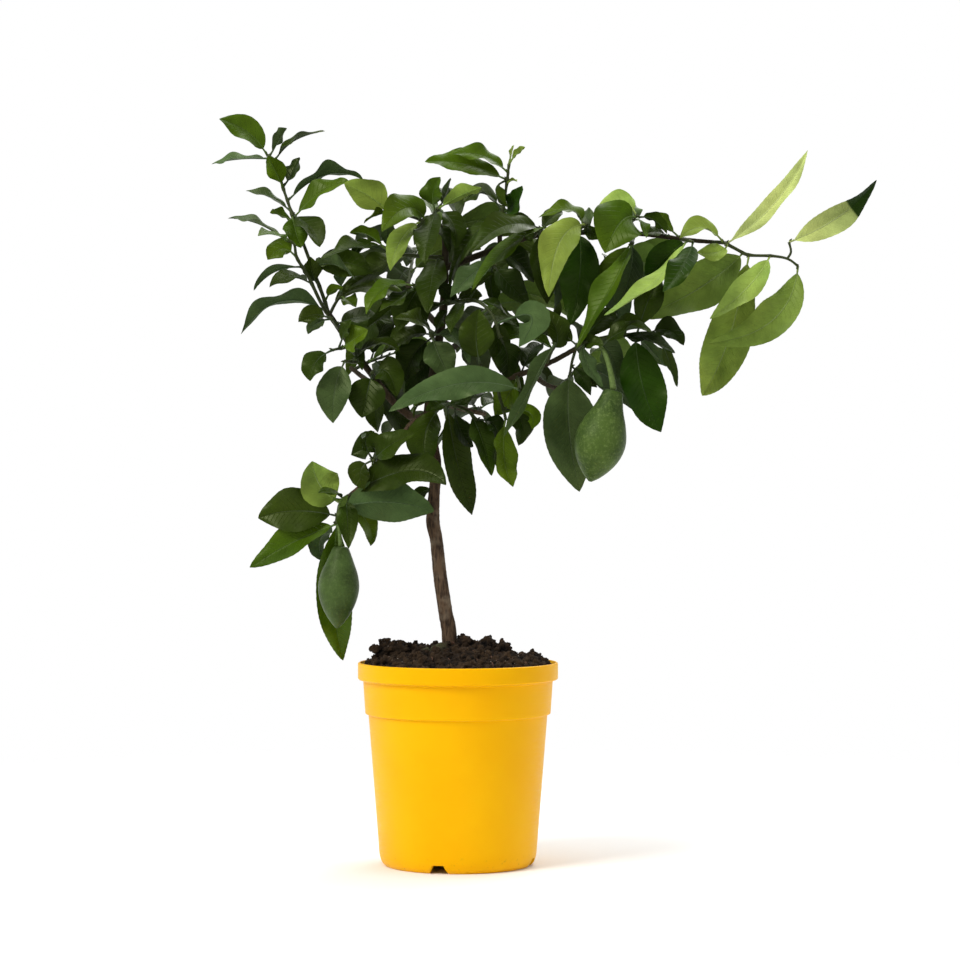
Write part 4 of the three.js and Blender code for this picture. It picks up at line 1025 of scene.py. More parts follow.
def leafy_tree() -> bpy.types.NodeTree:
    """Builds the tree that turns ribs into leaf blades, and shoots, stalks and midribs into round stems.

    A blade is swept along its rib on a line that runs from margin to margin. Its places across are then set
    from the values that the rib carries: half width, waved margin, crenate teeth and the quilting between the
    side veins. Upper face and underside meet in the margin.

    Returns:
        The geometry tree.
    """
    tree, given = geometry_tree("lemon_spray", {
        "Sections": "NodeSocketInt", "Thickness": "NodeSocketFloat", "Fold": "NodeSocketFloat",
        "Tooth Length": "NodeSocketFloat", "Tooth Depth": "NodeSocketFloat", "Vein Spacing": "NodeSocketFloat",
        "Vein Slant": "NodeSocketFloat", "Quilting": "NodeSocketFloat", "Stem Sides": "NodeSocketInt",
        "Stem Roughness": "NodeSocketFloat", "Upper Face": "NodeSocketMaterial",
        "Underside": "NodeSocketMaterial", "Stem": "NodeSocketMaterial",
    })
    layer = {name: add_node(tree, "GeometryNodeInputNamedAttribute", {"Name": name}, data_type=kind)
             for name, kind in [*((name, KINDS[width][0]) for name, width in LINE_LAYERS.items() if width < 4),
                                ("v", "FLOAT")]}
    is_blade = add_node(tree, "FunctionNodeCompare", {0: layer["blade"], 1: 0.5}, operation="GREATER_THAN")
    split = add_node(tree, "GeometryNodeSeparateGeometry",
                     {"Geometry": given.outputs["Geometry"], "Selection": is_blade}, domain="POINT")

    # Line from margin to margin, which knows its own place across the leaf.
    line = add_node(tree, "GeometryNodeMeshLine",
                    {"Count": given.outputs["Sections"], "Offset": (0.0001, 0, 0)}, mode="OFFSET")
    index = add_node(tree, "GeometryNodeInputIndex")
    last = add_node(tree, MATH, {0: given.outputs["Sections"], 1: 1.0}, operation="SUBTRACT")
    portion = add_node(tree, MATH, {0: index, 1: last}, operation="DIVIDE")
    place_across = add_node(tree, MATH, {0: portion, 1: 2.0, 2: -1.0}, operation="MULTIPLY_ADD")
    marked = add_node(tree, "GeometryNodeStoreNamedAttribute",
                      {"Geometry": line, "Name": "v", "Value": place_across}, data_type="FLOAT", domain="POINT")
    profile = add_node(tree, "GeometryNodeMeshToCurve", {"Mesh": marked})
    ribs = add_node(tree, "GeometryNodeMeshToCurve", {"Mesh": split.outputs["Selection"]})
    sheet = add_node(tree, "GeometryNodeCurveToMesh", {"Curve": ribs, "Profile Curve": profile})

    # Where each point of the blade lies.
    made = {**layer, **{socket.name: socket for socket in given.outputs}}
    for name, operation, *parts in BLADE_FORM:
        made[name] = add_node(tree, MATH, {i: made.get(part, part) for i, part in enumerate(parts)},
                              operation=operation)
    aside = add_node(tree, VECTOR, {0: layer["across"], "Scale": made["reach"]}, operation="SCALE")
    above = add_node(tree, VECTOR, {0: layer["face"], "Scale": made["lift"]}, operation="SCALE")
    shift = add_node(tree, VECTOR, {0: aside, 1: above}, operation="ADD")
    place = add_node(tree, VECTOR, {0: layer["rib"], 1: shift}, operation="ADD")
    blade = add_node(tree, "GeometryNodeSetPosition", {"Geometry": sheet, "Position": place})
    numbered = add_node(tree, "GeometryNodeStoreNamedAttribute",
                        {"Geometry": blade, "Name": "vein", "Value": made["vein"]},
                        data_type="FLOAT", domain="POINT")
    uv = add_node(tree, "ShaderNodeCombineXYZ", {"X": made["u"], "Y": layer["share"]})
    mapped = add_node(tree, "GeometryNodeStoreNamedAttribute", {"Geometry": numbered, "Name": "leaf_uv", "Value": uv},
                      data_type="FLOAT2", domain="CORNER")

    # Half the thickness on either side.
    halves = []
    for number, (sign, flipped) in enumerate(((1.0, False), (-1.0, True))):
        depth = add_node(tree, MATH, {0: made["thickness"], 1: sign}, operation="MULTIPLY")
        offset = add_node(tree, VECTOR, {0: layer["face"], "Scale": depth}, operation="SCALE")
        half = add_node(tree, "GeometryNodeSetPosition", {"Geometry": mapped, "Offset": offset})
        if flipped:
            half = add_node(tree, "GeometryNodeFlipFaces", {"Mesh": half})
        halves.append(add_node(tree, "GeometryNodeStoreNamedAttribute",
                               {"Geometry": half, "Name": "skin", "Value": float(number)},
                               data_type="FLOAT", domain="FACE"))
    both = add_node(tree, "GeometryNodeJoinGeometry")
    for half in halves:
        tree.links.new(half.outputs[0], both.inputs[0])
    closed = add_node(tree, "GeometryNodeMergeByDistance", {"Geometry": both, "Distance": 1e-6})

    # Shoots, stalks and midribs.
    lines = add_node(tree, "GeometryNodeMeshToCurve", {"Mesh": split.outputs["Inverted"]})
    ring = add_node(tree, "GeometryNodeCurvePrimitiveCircle",
                    {"Resolution": given.outputs["Stem Sides"], "Radius": 1.0}, mode="RADIUS")
    rods = add_node(tree, "GeometryNodeCurveToMesh",
                    {"Curve": lines, "Profile Curve": ring, "Scale": layer["thick"], "Fill Caps": True})
    grain = add_node(tree, NOISE, {"Scale": 260.0, "Detail": 2.0})
    level = add_node(tree, MATH, {0: grain, 1: 0.5}, operation="SUBTRACT")
    rough = add_node(tree, MATH, {0: level, 1: given.outputs["Stem Roughness"]}, operation="MULTIPLY")
    normal = add_node(tree, "GeometryNodeInputNormal")
    bumps = add_node(tree, VECTOR, {0: normal, "Scale": rough}, operation="SCALE")
    uneven = add_node(tree, "GeometryNodeSetPosition", {"Geometry": rods, "Offset": bumps})
    stems = add_node(tree, "GeometryNodeStoreNamedAttribute", {"Geometry": uneven, "Name": "skin", "Value": 2.0},
                     data_type="FLOAT", domain="FACE")
    whole = add_node(tree, "GeometryNodeJoinGeometry")
    tree.links.new(closed.outputs[0], whole.inputs[0])
    tree.links.new(stems.outputs[0], whole.inputs[0])
    result = add_node(tree, "GeometryNodeRealizeInstances", {"Geometry": whole})
    skin = add_node(tree, "GeometryNodeInputNamedAttribute", {"Name": "skin"}, data_type="FLOAT")
    for number, name in enumerate(("Upper Face", "Underside", "Stem")):
        chosen = add_node(tree, "FunctionNodeCompare", {0: skin, 1: float(number), "Epsilon": 0.1}, operation="EQUAL")
        result = add_node(tree, "GeometryNodeSetMaterial",
                          {"Geometry": result, "Selection": chosen, "Material": given.outputs[name]})
    add_node(tree, "NodeGroupOutput", {"Geometry": result})
    return tree


@dataclass
class Lines:
    """Lines with values at their points, gathered into one seed mesh."""

    points: list[Array] = field(default_factory=list)
    edges: list[tuple[int, int]] = field(default_factory=list)
    layers: dict[str, list[Array]] = field(default_factory=lambda: {name: [] for name in LINE_LAYERS})
    count: int = 0

    def add(self, points: Array, **values) -> None:
        """Adds a line.

        Args:
            points: Its points, in millimetres.
            **values: The layers that it carries, as one value for all points or one for each.
        """
        size = len(points)
        self.points.append(points * MM)
        self.edges += [(self.count + i, self.count + i + 1) for i in range(size - 1)]
        for name, width in LINE_LAYERS.items():
            shape = (size,) if width == 1 else (size, width)
            self.layers[name].append(np.broadcast_to(np.asarray(values.get(name, 0.0), float), shape))
        self.count += size

    def mesh(self, name: str) -> bpy.types.Mesh:
        """Makes the seed mesh of the lines."""
        layers = {label: np.concatenate(values) for label, values in self.layers.items()}
        return seed_mesh(name, np.vstack(self.points), self.edges, layers)


WAVE_STATIONS = ((30.0, 0.42, 0.5), (72.0, 0.3, 0.38), (math.inf, 0.22, 0.28))  # up to a length: first crest, gap
SHOOT_GREEN = "#333C18"
STALK_GREEN = "#5C7038"  # of the stalks that thicken towards their fruit
SHOOT_SPACING = 3.0
FEWEST_TURNS, MORE_TURNS = 0.8, 1.6  # ups and downs of a leaf's own unevenness
RIB_SINK = 0.25  # how far the midrib's axis lies under the middle of the blade


@dataclass
class LeafySpray:
    """One spray: its shoots, and its leaves with their stalks, midribs and buds, in millimetres."""

    name: str
    shoots: list[tuple[Array, Array]]
    leaves: list[Leaf]
    seed: int
    sections: int = 15
    thickness: float = 0.55
    tooth_length: float = 7.0
    tooth_depth: float = 0.16
    vein_spacing: float = 6.5
    vein_slant: float = 0.85
    quilting: float = 0.16
    stem_sides: int = 8
    stem_roughness: float = 0.25
    bud: float = 4.5  # length of the bud in a leaf's axil
    shade_spread: float = 0.3  # how much lighter or darker one leaf is than the next
    warmth_spread: float = 0.12  # how much warmer or cooler
    node_swell: float = 0.45  # how much thicker a shoot is where a leaf leaves it
    node_reach: float = 2.5  # how far along the shoot that shows
    fade: float = 0.22  # how much a leaf's green lightens or darkens from base to tip
    tip_curl: float = 0.085  # how far the tip bends up or down, as a share of the leaf's length
    ruffle: float = 0.1  # height of each leaf's own unevenness, as a share of its width

    def curled(self, leaf: Leaf, t: Array, draw: float) -> tuple[Array, Array, Array]:
        """Gives what frame_at gives, with the tip bent up or down by a draw from 0 to 1."""
        place, across, face = leaf.frame_at(t)
        bend = self.tip_curl * leaf.length * (draw - 0.35) * ((t - 0.55) / 0.45).clip(0, 1) ** 2
        return place - face * bend[:, None], across, face

    def add_leaf(self, lines: Lines, leaf: Leaf, draws: np.random.Generator) -> None:
        """Adds a leaf's blade, its stalk with the midrib, and the bud in its axil.

        Args:
            lines: Where the lines go.
            leaf: The leaf.
            draws: Random draws for the leaf's own shade of green.
        """
        start = leaf.stalk_share
        share = np.linspace(0, 1, max(10, round(leaf.length * (1 - start) / SHAPE.station)) + 1)
        narrow = SHAPE.petiole * (1 - share) + SHAPE.tip * share
        half = np.maximum(leaf.width / 2 * SHAPE.spread(share), narrow)
        _, first, gap = next(row for row in WAVE_STATIONS if leaf.length <= row[0])
        crest = -np.cos(np.pi * (share - first) / gap) * np.sqrt(np.sin(np.pi * share).clip(0))
        brightness = 1 + self.shade_spread * (draws.random() - 0.5)
        warmth = 1 + self.warmth_spread * (draws.random() - 0.5)
        shade = np.array([brightness * warmth, brightness, brightness / warmth, 1.0])
        faces = [np.array(linear(code)) * shade for code in leaf.tone.value]
        upper, under = reversed(faces) if leaf.under_shows else faces
        upper = np.where(share[:, None] > leaf.rolled, np.array(linear(Tone.DEEP.value[0])), upper)
        turns, start_turn = FEWEST_TURNS + MORE_TURNS * draws.random(), draws.random()
        fading = (2 * (turns - FEWEST_TURNS) - MORE_TURNS) / MORE_TURNS
        upper = upper * (1 + self.fade * fading * (2 * share - 1))[:, None]
        place, across, face = self.curled(leaf, start + (1 - start) * share, start_turn)
        ruffle = np.sin(2 * np.pi * (turns * share + start_turn)) * np.sin(np.pi * share)
        lines.add(place, rib=place * MM, across=across, face=face, half=half * MM, share=share,
                  run=share * leaf.length * MM, wave=SHAPE.wave * leaf.width * crest * MM,
                  ruffle=self.ruffle * leaf.width * ruffle * MM, blade=1.0, upper=upper, under=under)

        t = np.linspace(0, SHAPE.rib_end, max(8, round(leaf.length / 4)) + 1)
        place, across, face = self.curled(leaf, t, start_turn)
        on_blade = ((t - start) / (SHAPE.rib_end - start)).clip(0, 1)
        radius = np.where(t < start, SHAPE.petiole * (1.25 - 0.35 * t / start), 0.9 * (1 - on_blade) + 0.22 * on_blade)
        sink = np.where(t < start, 0.0, RIB_SINK)
        lines.add(place - face * sink[:, None], thick=radius * MM, upper=under, under=under, share=t)

        way = unit(unit(place[1] - place[0]) + np.array([0, 0, 0.8]))
        reach = np.array([0.3, 0.6, 1.0]) * self.bud
        lines.add(leaf.root + way * reach[:, None], thick=np.array([1.1, 1.0, 0.25]) * MM,
                  upper=np.array(linear(SHOOT_GREEN)), under=under)

    def add_shoot(self, lines: Lines, points: Array, radii: Array) -> None:
        """Adds a shoot, swollen where leaves leave it.

        Args:
            lines: Where the line goes.
            points: The shoot's joints in space.
            radii: The shoot's radius at each.
        """
        path, thick = smooth_path(points, radii, SHOOT_SPACING)
        for leaf in self.leaves:
            away = np.linalg.norm(path - leaf.root, axis=1)
            thick = thick + self.node_swell * np.exp(-(away / self.node_reach) ** 2)
        green = np.array(linear(STALK_GREEN if radii[-1] > radii[0] else SHOOT_GREEN))
        lines.add(path, thick=thick * MM, upper=green, under=green, share=np.linspace(0, 1, len(path)))

    def build(self, tree: bpy.types.NodeTree, finishes: dict[str, bpy.types.Material]) -> bpy.types.Object:
        """Builds and dresses the spray.

        Args:
            tree: The tree that makes blades and stems.
            finishes: Materials for the tree's named inputs.

        Returns:
            The finished piece.
        """
        draws = np.random.default_rng(self.seed)
        lines = Lines()
        for points, radii in self.shoots:
            self.add_shoot(lines, points, radii)
        for leaf in self.leaves:
            self.add_leaf(lines, leaf, draws)
        piece = grown(self.name, lines.mesh(self.name + "_lines"), tree, {
            "Sections": self.sections, "Thickness": self.thickness * MM, "Fold": SHAPE.fold,
            "Tooth Length": self.tooth_length * MM, "Tooth Depth": self.tooth_depth * MM,
            "Vein Spacing": self.vein_spacing * MM, "Vein Slant": self.vein_slant,
            "Quilting": self.quilting * MM, "Stem Sides": self.stem_sides,
            "Stem Roughness": self.stem_roughness * MM, **finishes,
        })
        nodes = [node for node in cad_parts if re.fullmatch(self.name + r"_\d+", node)]
        return dress(piece, nodes)


# ------------------------------------------------------------------ small leaves of the crown's middle

# Outlines in the elevation, as [x, z]: where the crown is so dense that hardly any sky shows.
DENSE = (
    ((-122, 548), (-112, 556), (-62, 558), (-52, 566), (-48, 594), (-62, 600), (-112, 576), (-114, 584), (-96, 602),
     (-128, 604), (-100, 622), (-74, 624), (-98, 634), (-74, 646), (-60, 664), (-40, 674), (-22, 682), (-10, 652),
     (0, 646), (24, 648), (44, 648), (78, 644), (100, 654), (136, 658), (182, 656), (192, 640), (226, 620),
     (232, 602), (210, 580), (186, 556), (180, 542), (222, 534), (214, 508), (196, 500), (176, 530), (162, 504),
     (156, 480), (142, 480), (120, 520), (96, 514), (76, 488), (60, 464), (20, 456), (-20, 458), (-46, 450),
     (-66, 458), (-84, 450), (-100, 454), (-106, 476), (-96, 500), (-120, 518)),
    ((-104, 405), (-98, 424), (-84, 436), (-46, 450), (-20, 458), (0, 456), (-14, 424), (-16, 402), (-28, 388),
     (-30, 366), (-50, 370), (-62, 396), (-92, 380)),
    ((110, 494), (118, 474), (132, 466), (150, 478), (142, 500), (122, 500)),
    ((-122, 372), (-108, 372), (-100, 340), (-112, 328), (-124, 342)),
    ((-140, 598), (-96, 604), (-92, 586), (-130, 580)),
)
# Gaps in it where the sky does show: x, z, half width, half height.
SKY = ((13, 603, 7, 6), (-8, 587, 5, 6), (28, 590, 5, 5), (36, 584, 7, 7), (79, 616, 6, 4), (82, 602, 4, 7),
       (99, 590, 5, 13), (134, 618, 5, 3), (138, 566, 4, 4), (80, 635, 10, 3), (106, 509, 16, 12), (-96, 484, 8, 10),
       (-62, 466, 5, 6), (-52, 502, 9, 5), (-87, 505, 5, 5), (-118, 506, 5, 8), (12, 505, 6, 5), (147, 525, 6, 4),
       (-55, 411, 9, 7), (-22, 641, 10, 9))

# Where little light comes, as the elevation shows it: middle x, z and half width, half height. The leaves that
# close the crown get darker tones there, as painted shade, and lighter ones outside of it, as painted light where
# the sky lights them.
SHADED = (60, 530, 190, 120)
SHADED_TONES, LIT_TONES = (SHADE, DARK, DARK), (DARK, GREY, MID)


def in_elevation(points: Array) -> Array:
    """Gives where the elevation shows points in space, as rows of x and z."""
    far = (points[:, 1] - EYE[1]) / -EYE[1]
    x = EYE[0] - ASIDE + (points[:, 0] - EYE[0]) / far
    return np.column_stack([x, EYE[2] + (points[:, 2] - EYE[2]) / far])


def within(outline: Sequence[tuple[float, float]], x: Array, z: Array) -> Array:
    """Tells which places lie within an outline, by counting how often a level line crosses it."""
    inside = np.zeros(x.shape, bool)
    for (ax, az), (bx, bz) in zip(outline, [*outline[1:], outline[0]]):
        crosses = (az > z) != (bz > z)
        inside ^= crosses & (x < (bx - ax) * (z - az) / ((bz - az) or 1.0) + ax)
    return inside


@dataclass
class Infill:
    """The rule by which small shaded leaves close the crown's middle, in millimetres."""

    seed: int = 411
    most: int = 230  # leaves grown at most
    tries: int = 26  # leaves tried for each one grown
    shortest: float = 34.0
    longest: float = 66.0
    slender: float = 0.46
    droop: float = 0.16
    overlap: float = 3.5  # how much closer to others than a drawn leaf it may grow
    cell: float = 4.0  # size of the cells in which cover is counted
    worth: int = 5  # cells that a leaf must close
    low: tuple[float, float] = (-260.0, 340.0)
    cells: tuple[int, int] = (176, 104)
    carriers: int = 24  # the nearest places on the wood, one of which carries a leaf
    depth_spread: float = 34.0  # how far before or behind its root a leaf may reach
    stray: float = 14.0  # spread of its tip
    cover_share: float = 0.6  # where along it the place to be covered lies
    price: int = 3  # what a cell covered outside the dense crown costs, in cells closed

    def __post_init__(self) -> None:
        """Starts the draws and marks the cells that are still open."""
        self.draws = np.random.default_rng(self.seed)
        x, z = np.meshgrid(*(self.low[k] + (np.arange(self.cells[k]) + 0.5) * self.cell for k in (0, 1)),
                           indexing="ij")
        self.dense = np.logical_or.reduce([within(outline, x, z) for outline in DENSE])
        for cx, cz, wide, high in SKY:
            self.dense &= ((x - cx) / wide) ** 2 + ((z - cz) / high) ** 2 > 1
        self.open = self.dense.copy()
        self.bare = np.ones(self.cells, bool)
        self.wood = np.full(self.cells, math.inf)  # depth of the wood that a cell shows

    def numbers(self, points: Array) -> Array:
        """Gives the numbers of the cells in which the elevation shows points."""
        numbers = ((in_elevation(points) - np.array(self.low)) / self.cell).astype(int)
        inside = np.all((numbers >= 0) & (numbers < np.array(self.cells)), axis=1)
        return np.unique(numbers[inside, 0] * self.cells[1] + numbers[inside, 1])

    def cover(self, leaf: Leaf) -> Array:
        """Gives the numbers of the cells that a leaf covers in the elevation, with any wood in them."""
        s = np.linspace(0, 1, math.ceil(leaf.length / (0.7 * self.cell)))
        v = np.linspace(-1, 1, math.ceil(leaf.width / (0.6 * self.cell)))
        numbers = self.numbers(leaf.blade_points(s, v).reshape(-1, 3))
        return numbers[self.wood.flat[numbers] > leaf.middle[1]]

    def close(self, leaf: Leaf) -> None:
        """Marks the cells that a leaf covers."""
        covered = self.cover(leaf)
        self.open.flat[covered] = False
        self.bare.flat[covered] = False

    def candidate(self, roots: Array, seen: Array, target: Array) -> Leaf:
        """Makes one leaf that might cover a place.

        Args:
            roots: Places on the wood that may carry it.
            seen: The same places in the elevation.
            target: The place to be covered, in the elevation.

        Returns:
            The leaf.
        """
        draws = self.draws
        away = np.linalg.norm(seen - target, axis=1)
        near = np.argsort(away)[:self.carriers]
        root = roots[near[draws.integers(len(near))]]
        depth = root[1] + self.depth_spread * (draws.random() - 0.42)
        goal = on_sight(*target, depth)
        reach = (goal - root) / self.cover_share + self.stray * (draws.random(3) - 0.5)
        length = float(np.clip(np.linalg.norm(reach), self.shortest, self.longest))
        tip = root + unit(reach) * length
        middle = (root + tip) / 2
        middle[2] += self.droop * length * 0.5
        tip[2] -= self.droop * length * 0.5
        facing = np.array([1.6 * (draws.random() - 0.5), -1.0, 1.5 * draws.random() - 0.2])
        # painted shade and light: a leaf inside the shaded ellipse gets a dark tone, one outside it a lighter tone
        x, z, wide, high = SHADED
        lit = ((target[0] - x) / wide) ** 2 + ((target[1] - z) / high) ** 2 > 1
        tones = LIT_TONES if lit else SHADED_TONES
        tone = tones[int(draws.random() * len(tones))]
        return Leaf(root, middle, tip, facing, self.slender * length, 1.4 * (draws.random() - 0.5), tone)

    def grow(self, crown: Crown, wood: list[Array], shoots: list[Array], leaves: list[Leaf]) -> list[Leaf]:
        """Grows the leaves, each where it closes most.

        Args:
            crown: What the crown holds already.
            wood: The lines of trunk and limbs, which leaves are to hide.
            shoots: The lines of the green shoots, which may carry leaves as the wood does.
            leaves: The leaves that cover the elevation already.

        Returns:
            The new leaves.
        """
        for line in wood:
            for point in line:
                spots = self.numbers(point + self.cell / 2 * np.array([[-1, 0, 0], [1, 0, 0]]))
                self.wood.flat[spots] = np.minimum(self.wood.flat[spots], point[1])
        for leaf in leaves:
            self.close(leaf)
        roots = np.vstack(wood + shoots)
        seen = in_elevation(roots)
        grown_leaves = []
        for _ in range(3 * self.most):
            left = np.argwhere(self.open)
            if len(left) < self.worth or len(grown_leaves) == self.most:
                break
            target = np.array(self.low) + (left[self.draws.integers(len(left))] + 0.5) * self.cell
            best, most = None, self.worth - 1
            for _ in range(self.tries):
                leaf = self.candidate(roots, seen, target)
                covered = self.cover(leaf)
                spoilt = self.bare.flat[covered] & ~self.dense.flat[covered]
                gain = int(self.open.flat[covered].sum()) - self.price * int(spoilt.sum())
                if gain > most and crown.roomiest([leaf])[1] > -self.overlap:
                    best, most = leaf, gain
            if best is not None:
                grown_leaves.append(crown.place(best))
                self.close(best)
        log.info("%d small leaves close the crown's middle, %d cells stay open", len(grown_leaves),
                 int(self.open.sum()))
        return grown_leaves


def grow_sprays() -> list[LeafySpray]:
    """Places every leaf of the crown: the drawn sprays, the ones at the back, then the small leaves within."""
    crown, growth = Crown(), Growth()
    for rows in [TRUNK, *LIMBS]:
        crown.take_stem(np.array([on_sight(x, z, y) for x, z, y, _ in rows]), [row[3] for row in rows])
    for plan in SPRAYS.values():
        for radii, points in plan.shoots:
            crown.take_stem(np.array([on_sight(*point) for point in points]), [radii[0]] * len(points))
    for fruit in FRUITS:
        high, low = fruit.ends()
        shares = np.array([share for share, _ in fruit.outline])
        rooms = np.array([radius for _, radius in fruit.outline]) + crown.fruit_room
        crown.take(high + (low - high) * shares[:, None], rooms)

    sprays = []
    for name, plan in SPRAYS.items():
        shoots = [(np.array([on_sight(*point) for point in points]), np.linspace(radii[0], radii[1], len(points)))
                  for radii, points in plan.shoots]
        leaves = [drawn_leaf(row, plan.shoots, crown) for row in plan.leaves]
        sprays.append(LeafySpray(name, shoots, leaves, len(sprays)))
    for name, plans in HIDDEN_SPRAYS.items():
        shoots, leaves = [], []
        for plan in plans:
            shoot = growth.shoot(plan)
            shoots.append((shoot, np.linspace(*growth.radii, len(shoot))))
            for number in range(plan.leaves):
                leaf = growth.leaf(shoot, (number + 1) / plan.leaves, number, plan.look, crown)
                leaves += [leaf] if leaf else []
        sprays.append(LeafySpray(name, shoots, leaves, len(sprays)))

    wood = [np.array([on_sight(x, z, y) for x, z, y, _ in rows]) for rows in [TRUNK, *LIMBS]]
    shoots = [points for spray in sprays for points, _ in spray.shoots]
    lines = [[smooth_path(points, np.zeros(len(points)), 4.0)[0] for points in stems] for stems in (wood, shoots)]
    inner = Infill().grow(crown, *lines, [leaf for spray in sprays for leaf in spray.leaves])
    for name, low, high in (("left", -math.inf, -20.0), ("middle", -20.0, 70.0), ("right", 70.0, math.inf)):
        part = [leaf for leaf in inner if low <= leaf.root[0] < high]
        sprays.append(LeafySpray("inner_leaves_" + name, [], part, len(sprays), sections=7, stem_sides=6))
    return sprays


# ------------------------------------------------------------------ wood

@dataclass
class Wood:
    """Trunk and limbs, grown as one piece, with rough young bark."""

    spacing: float = 2.5
    sides: int = 18
    roughness: float = 1.1

    def build(self, tree: bpy.types.NodeTree, bark: bpy.types.Material) -> bpy.types.Object:
        """Builds and dresses the wood.

        Args:
            tree: The tree that makes round stems of lines.
            bark: The bark's material.

        Returns:
            The finished piece.
        """
        lines = Lines()
        for rows in [TRUNK, *LIMBS]:
            points = np.array([on_sight(x, z, y) for x, z, y, _ in rows])
            path, thick = smooth_path(points, np.array([row[3] for row in rows]), self.spacing)
            lines.add(path, thick=thick * MM)
        piece = grown("trunk_and_limbs", lines.mesh("wood_lines"), tree, {
            "Sections": 3, "Stem Sides": self.sides, "Stem Roughness": self.roughness * MM, "Stem": bark,
        })
        return dress(piece, ["trunk"])


# ------------------------------------------------------------------ fruit

@dataclass
class Lemon:
    """A green lemon hanging by its neck: where the elevation shows neck and tip, its depth, and its outline
    from the neck down as (share of the length, radius)."""

    name: str
    neck: tuple[float, float]
    tip: tuple[float, float]
    depth: float
    outline: list[tuple[float, float]]
    sides: int = 72
    lump: float = 0.7  # height of the peel's broad unevenness
    pore: float = 0.12  # depth of the oil glands' dimples
    lumps: float = 28.0  # a pattern 36 mm wide
    pores: float = 700.0  # a pattern 1.4 mm wide
    even: float = 8.0  # radius round the ends within which the peel evens out
    rings: int = 84

    def ends(self) -> tuple[Array, Array]:
        """Gives neck and tip in space."""
        return on_sight(*self.neck, self.depth), on_sight(*self.tip, self.depth)

    def profile(self) -> list[tuple[float, float]]:
        """Smooths the outline into radius and height along the fruit, from the tip up to the neck."""
        high, low = self.ends()
        length = float(np.linalg.norm(high - low))
        shares, radii = (np.array(column) for column in zip(*self.outline))
        turn = (1 - np.cos(np.linspace(0, np.pi, self.rings))) / 2
        points = np.column_stack([shares * length, radii])
        path, _ = smooth_path(points, shares, 0.8)
        smooth = np.column_stack([np.interp(turn * length, path[:, 0], path[:, 1]), turn * length])
        skin = [(float(r), float(-away)) for r, away in smooth]
        return [(0.0, -length - 0.2), *reversed(skin), (0.0, 0.0)]

    def build(self, peel: bpy.types.Material) -> bpy.types.Object:
        """Builds and dresses the fruit.

        Args:
            peel: The peel's material.

        Returns:
            The finished piece.
        """
        mesh = lathe(self.name + "_peel", self.profile(), self.sides)
        high, low = self.ends()
        hang = Vector((0, 0, 1)).rotation_difference(Vector(high - low))
        for vertex in mesh.vertices:
            place = vertex.co.copy()
            out = Vector((place.x, place.y, 0))
            swell = noise.noise(place * self.lumps) * self.lump + noise.noise(place * self.pores) * self.pore
            fade = min(1.0, out.length / (self.even * MM))
            if out.length > 1e-9:
                place += out.normalized() * swell * fade * MM
            vertex.co = hang @ place + Vector(high) * MM
        mesh.materials.append(peel)
        return dress(new_object(self.name + "_fruit", mesh), [self.name])


FRUITS = [
    Lemon("lemon_left", (-118.5, 317.5), (-122, 236), -34,
          [(0, 4), (0.015, 7.6), (0.1, 10.8), (0.2, 14), (0.34, 18.3), (0.48, 20.3), (0.61, 19.2), (0.74, 15.8),
           (0.85, 11.2), (0.94, 6), (1, 1.4)]),
    Lemon("lemon_right", (154.5, 474), (131, 382.5), -52,
          [(0, 4), (0.015, 9.4), (0.08, 11.2), (0.2, 14.6), (0.34, 20.4), (0.48, 24.5), (0.6, 25), (0.73, 22),
           (0.84, 16.4), (0.94, 8.6), (1, 1.6)]),
]


# ------------------------------------------------------------------ pot

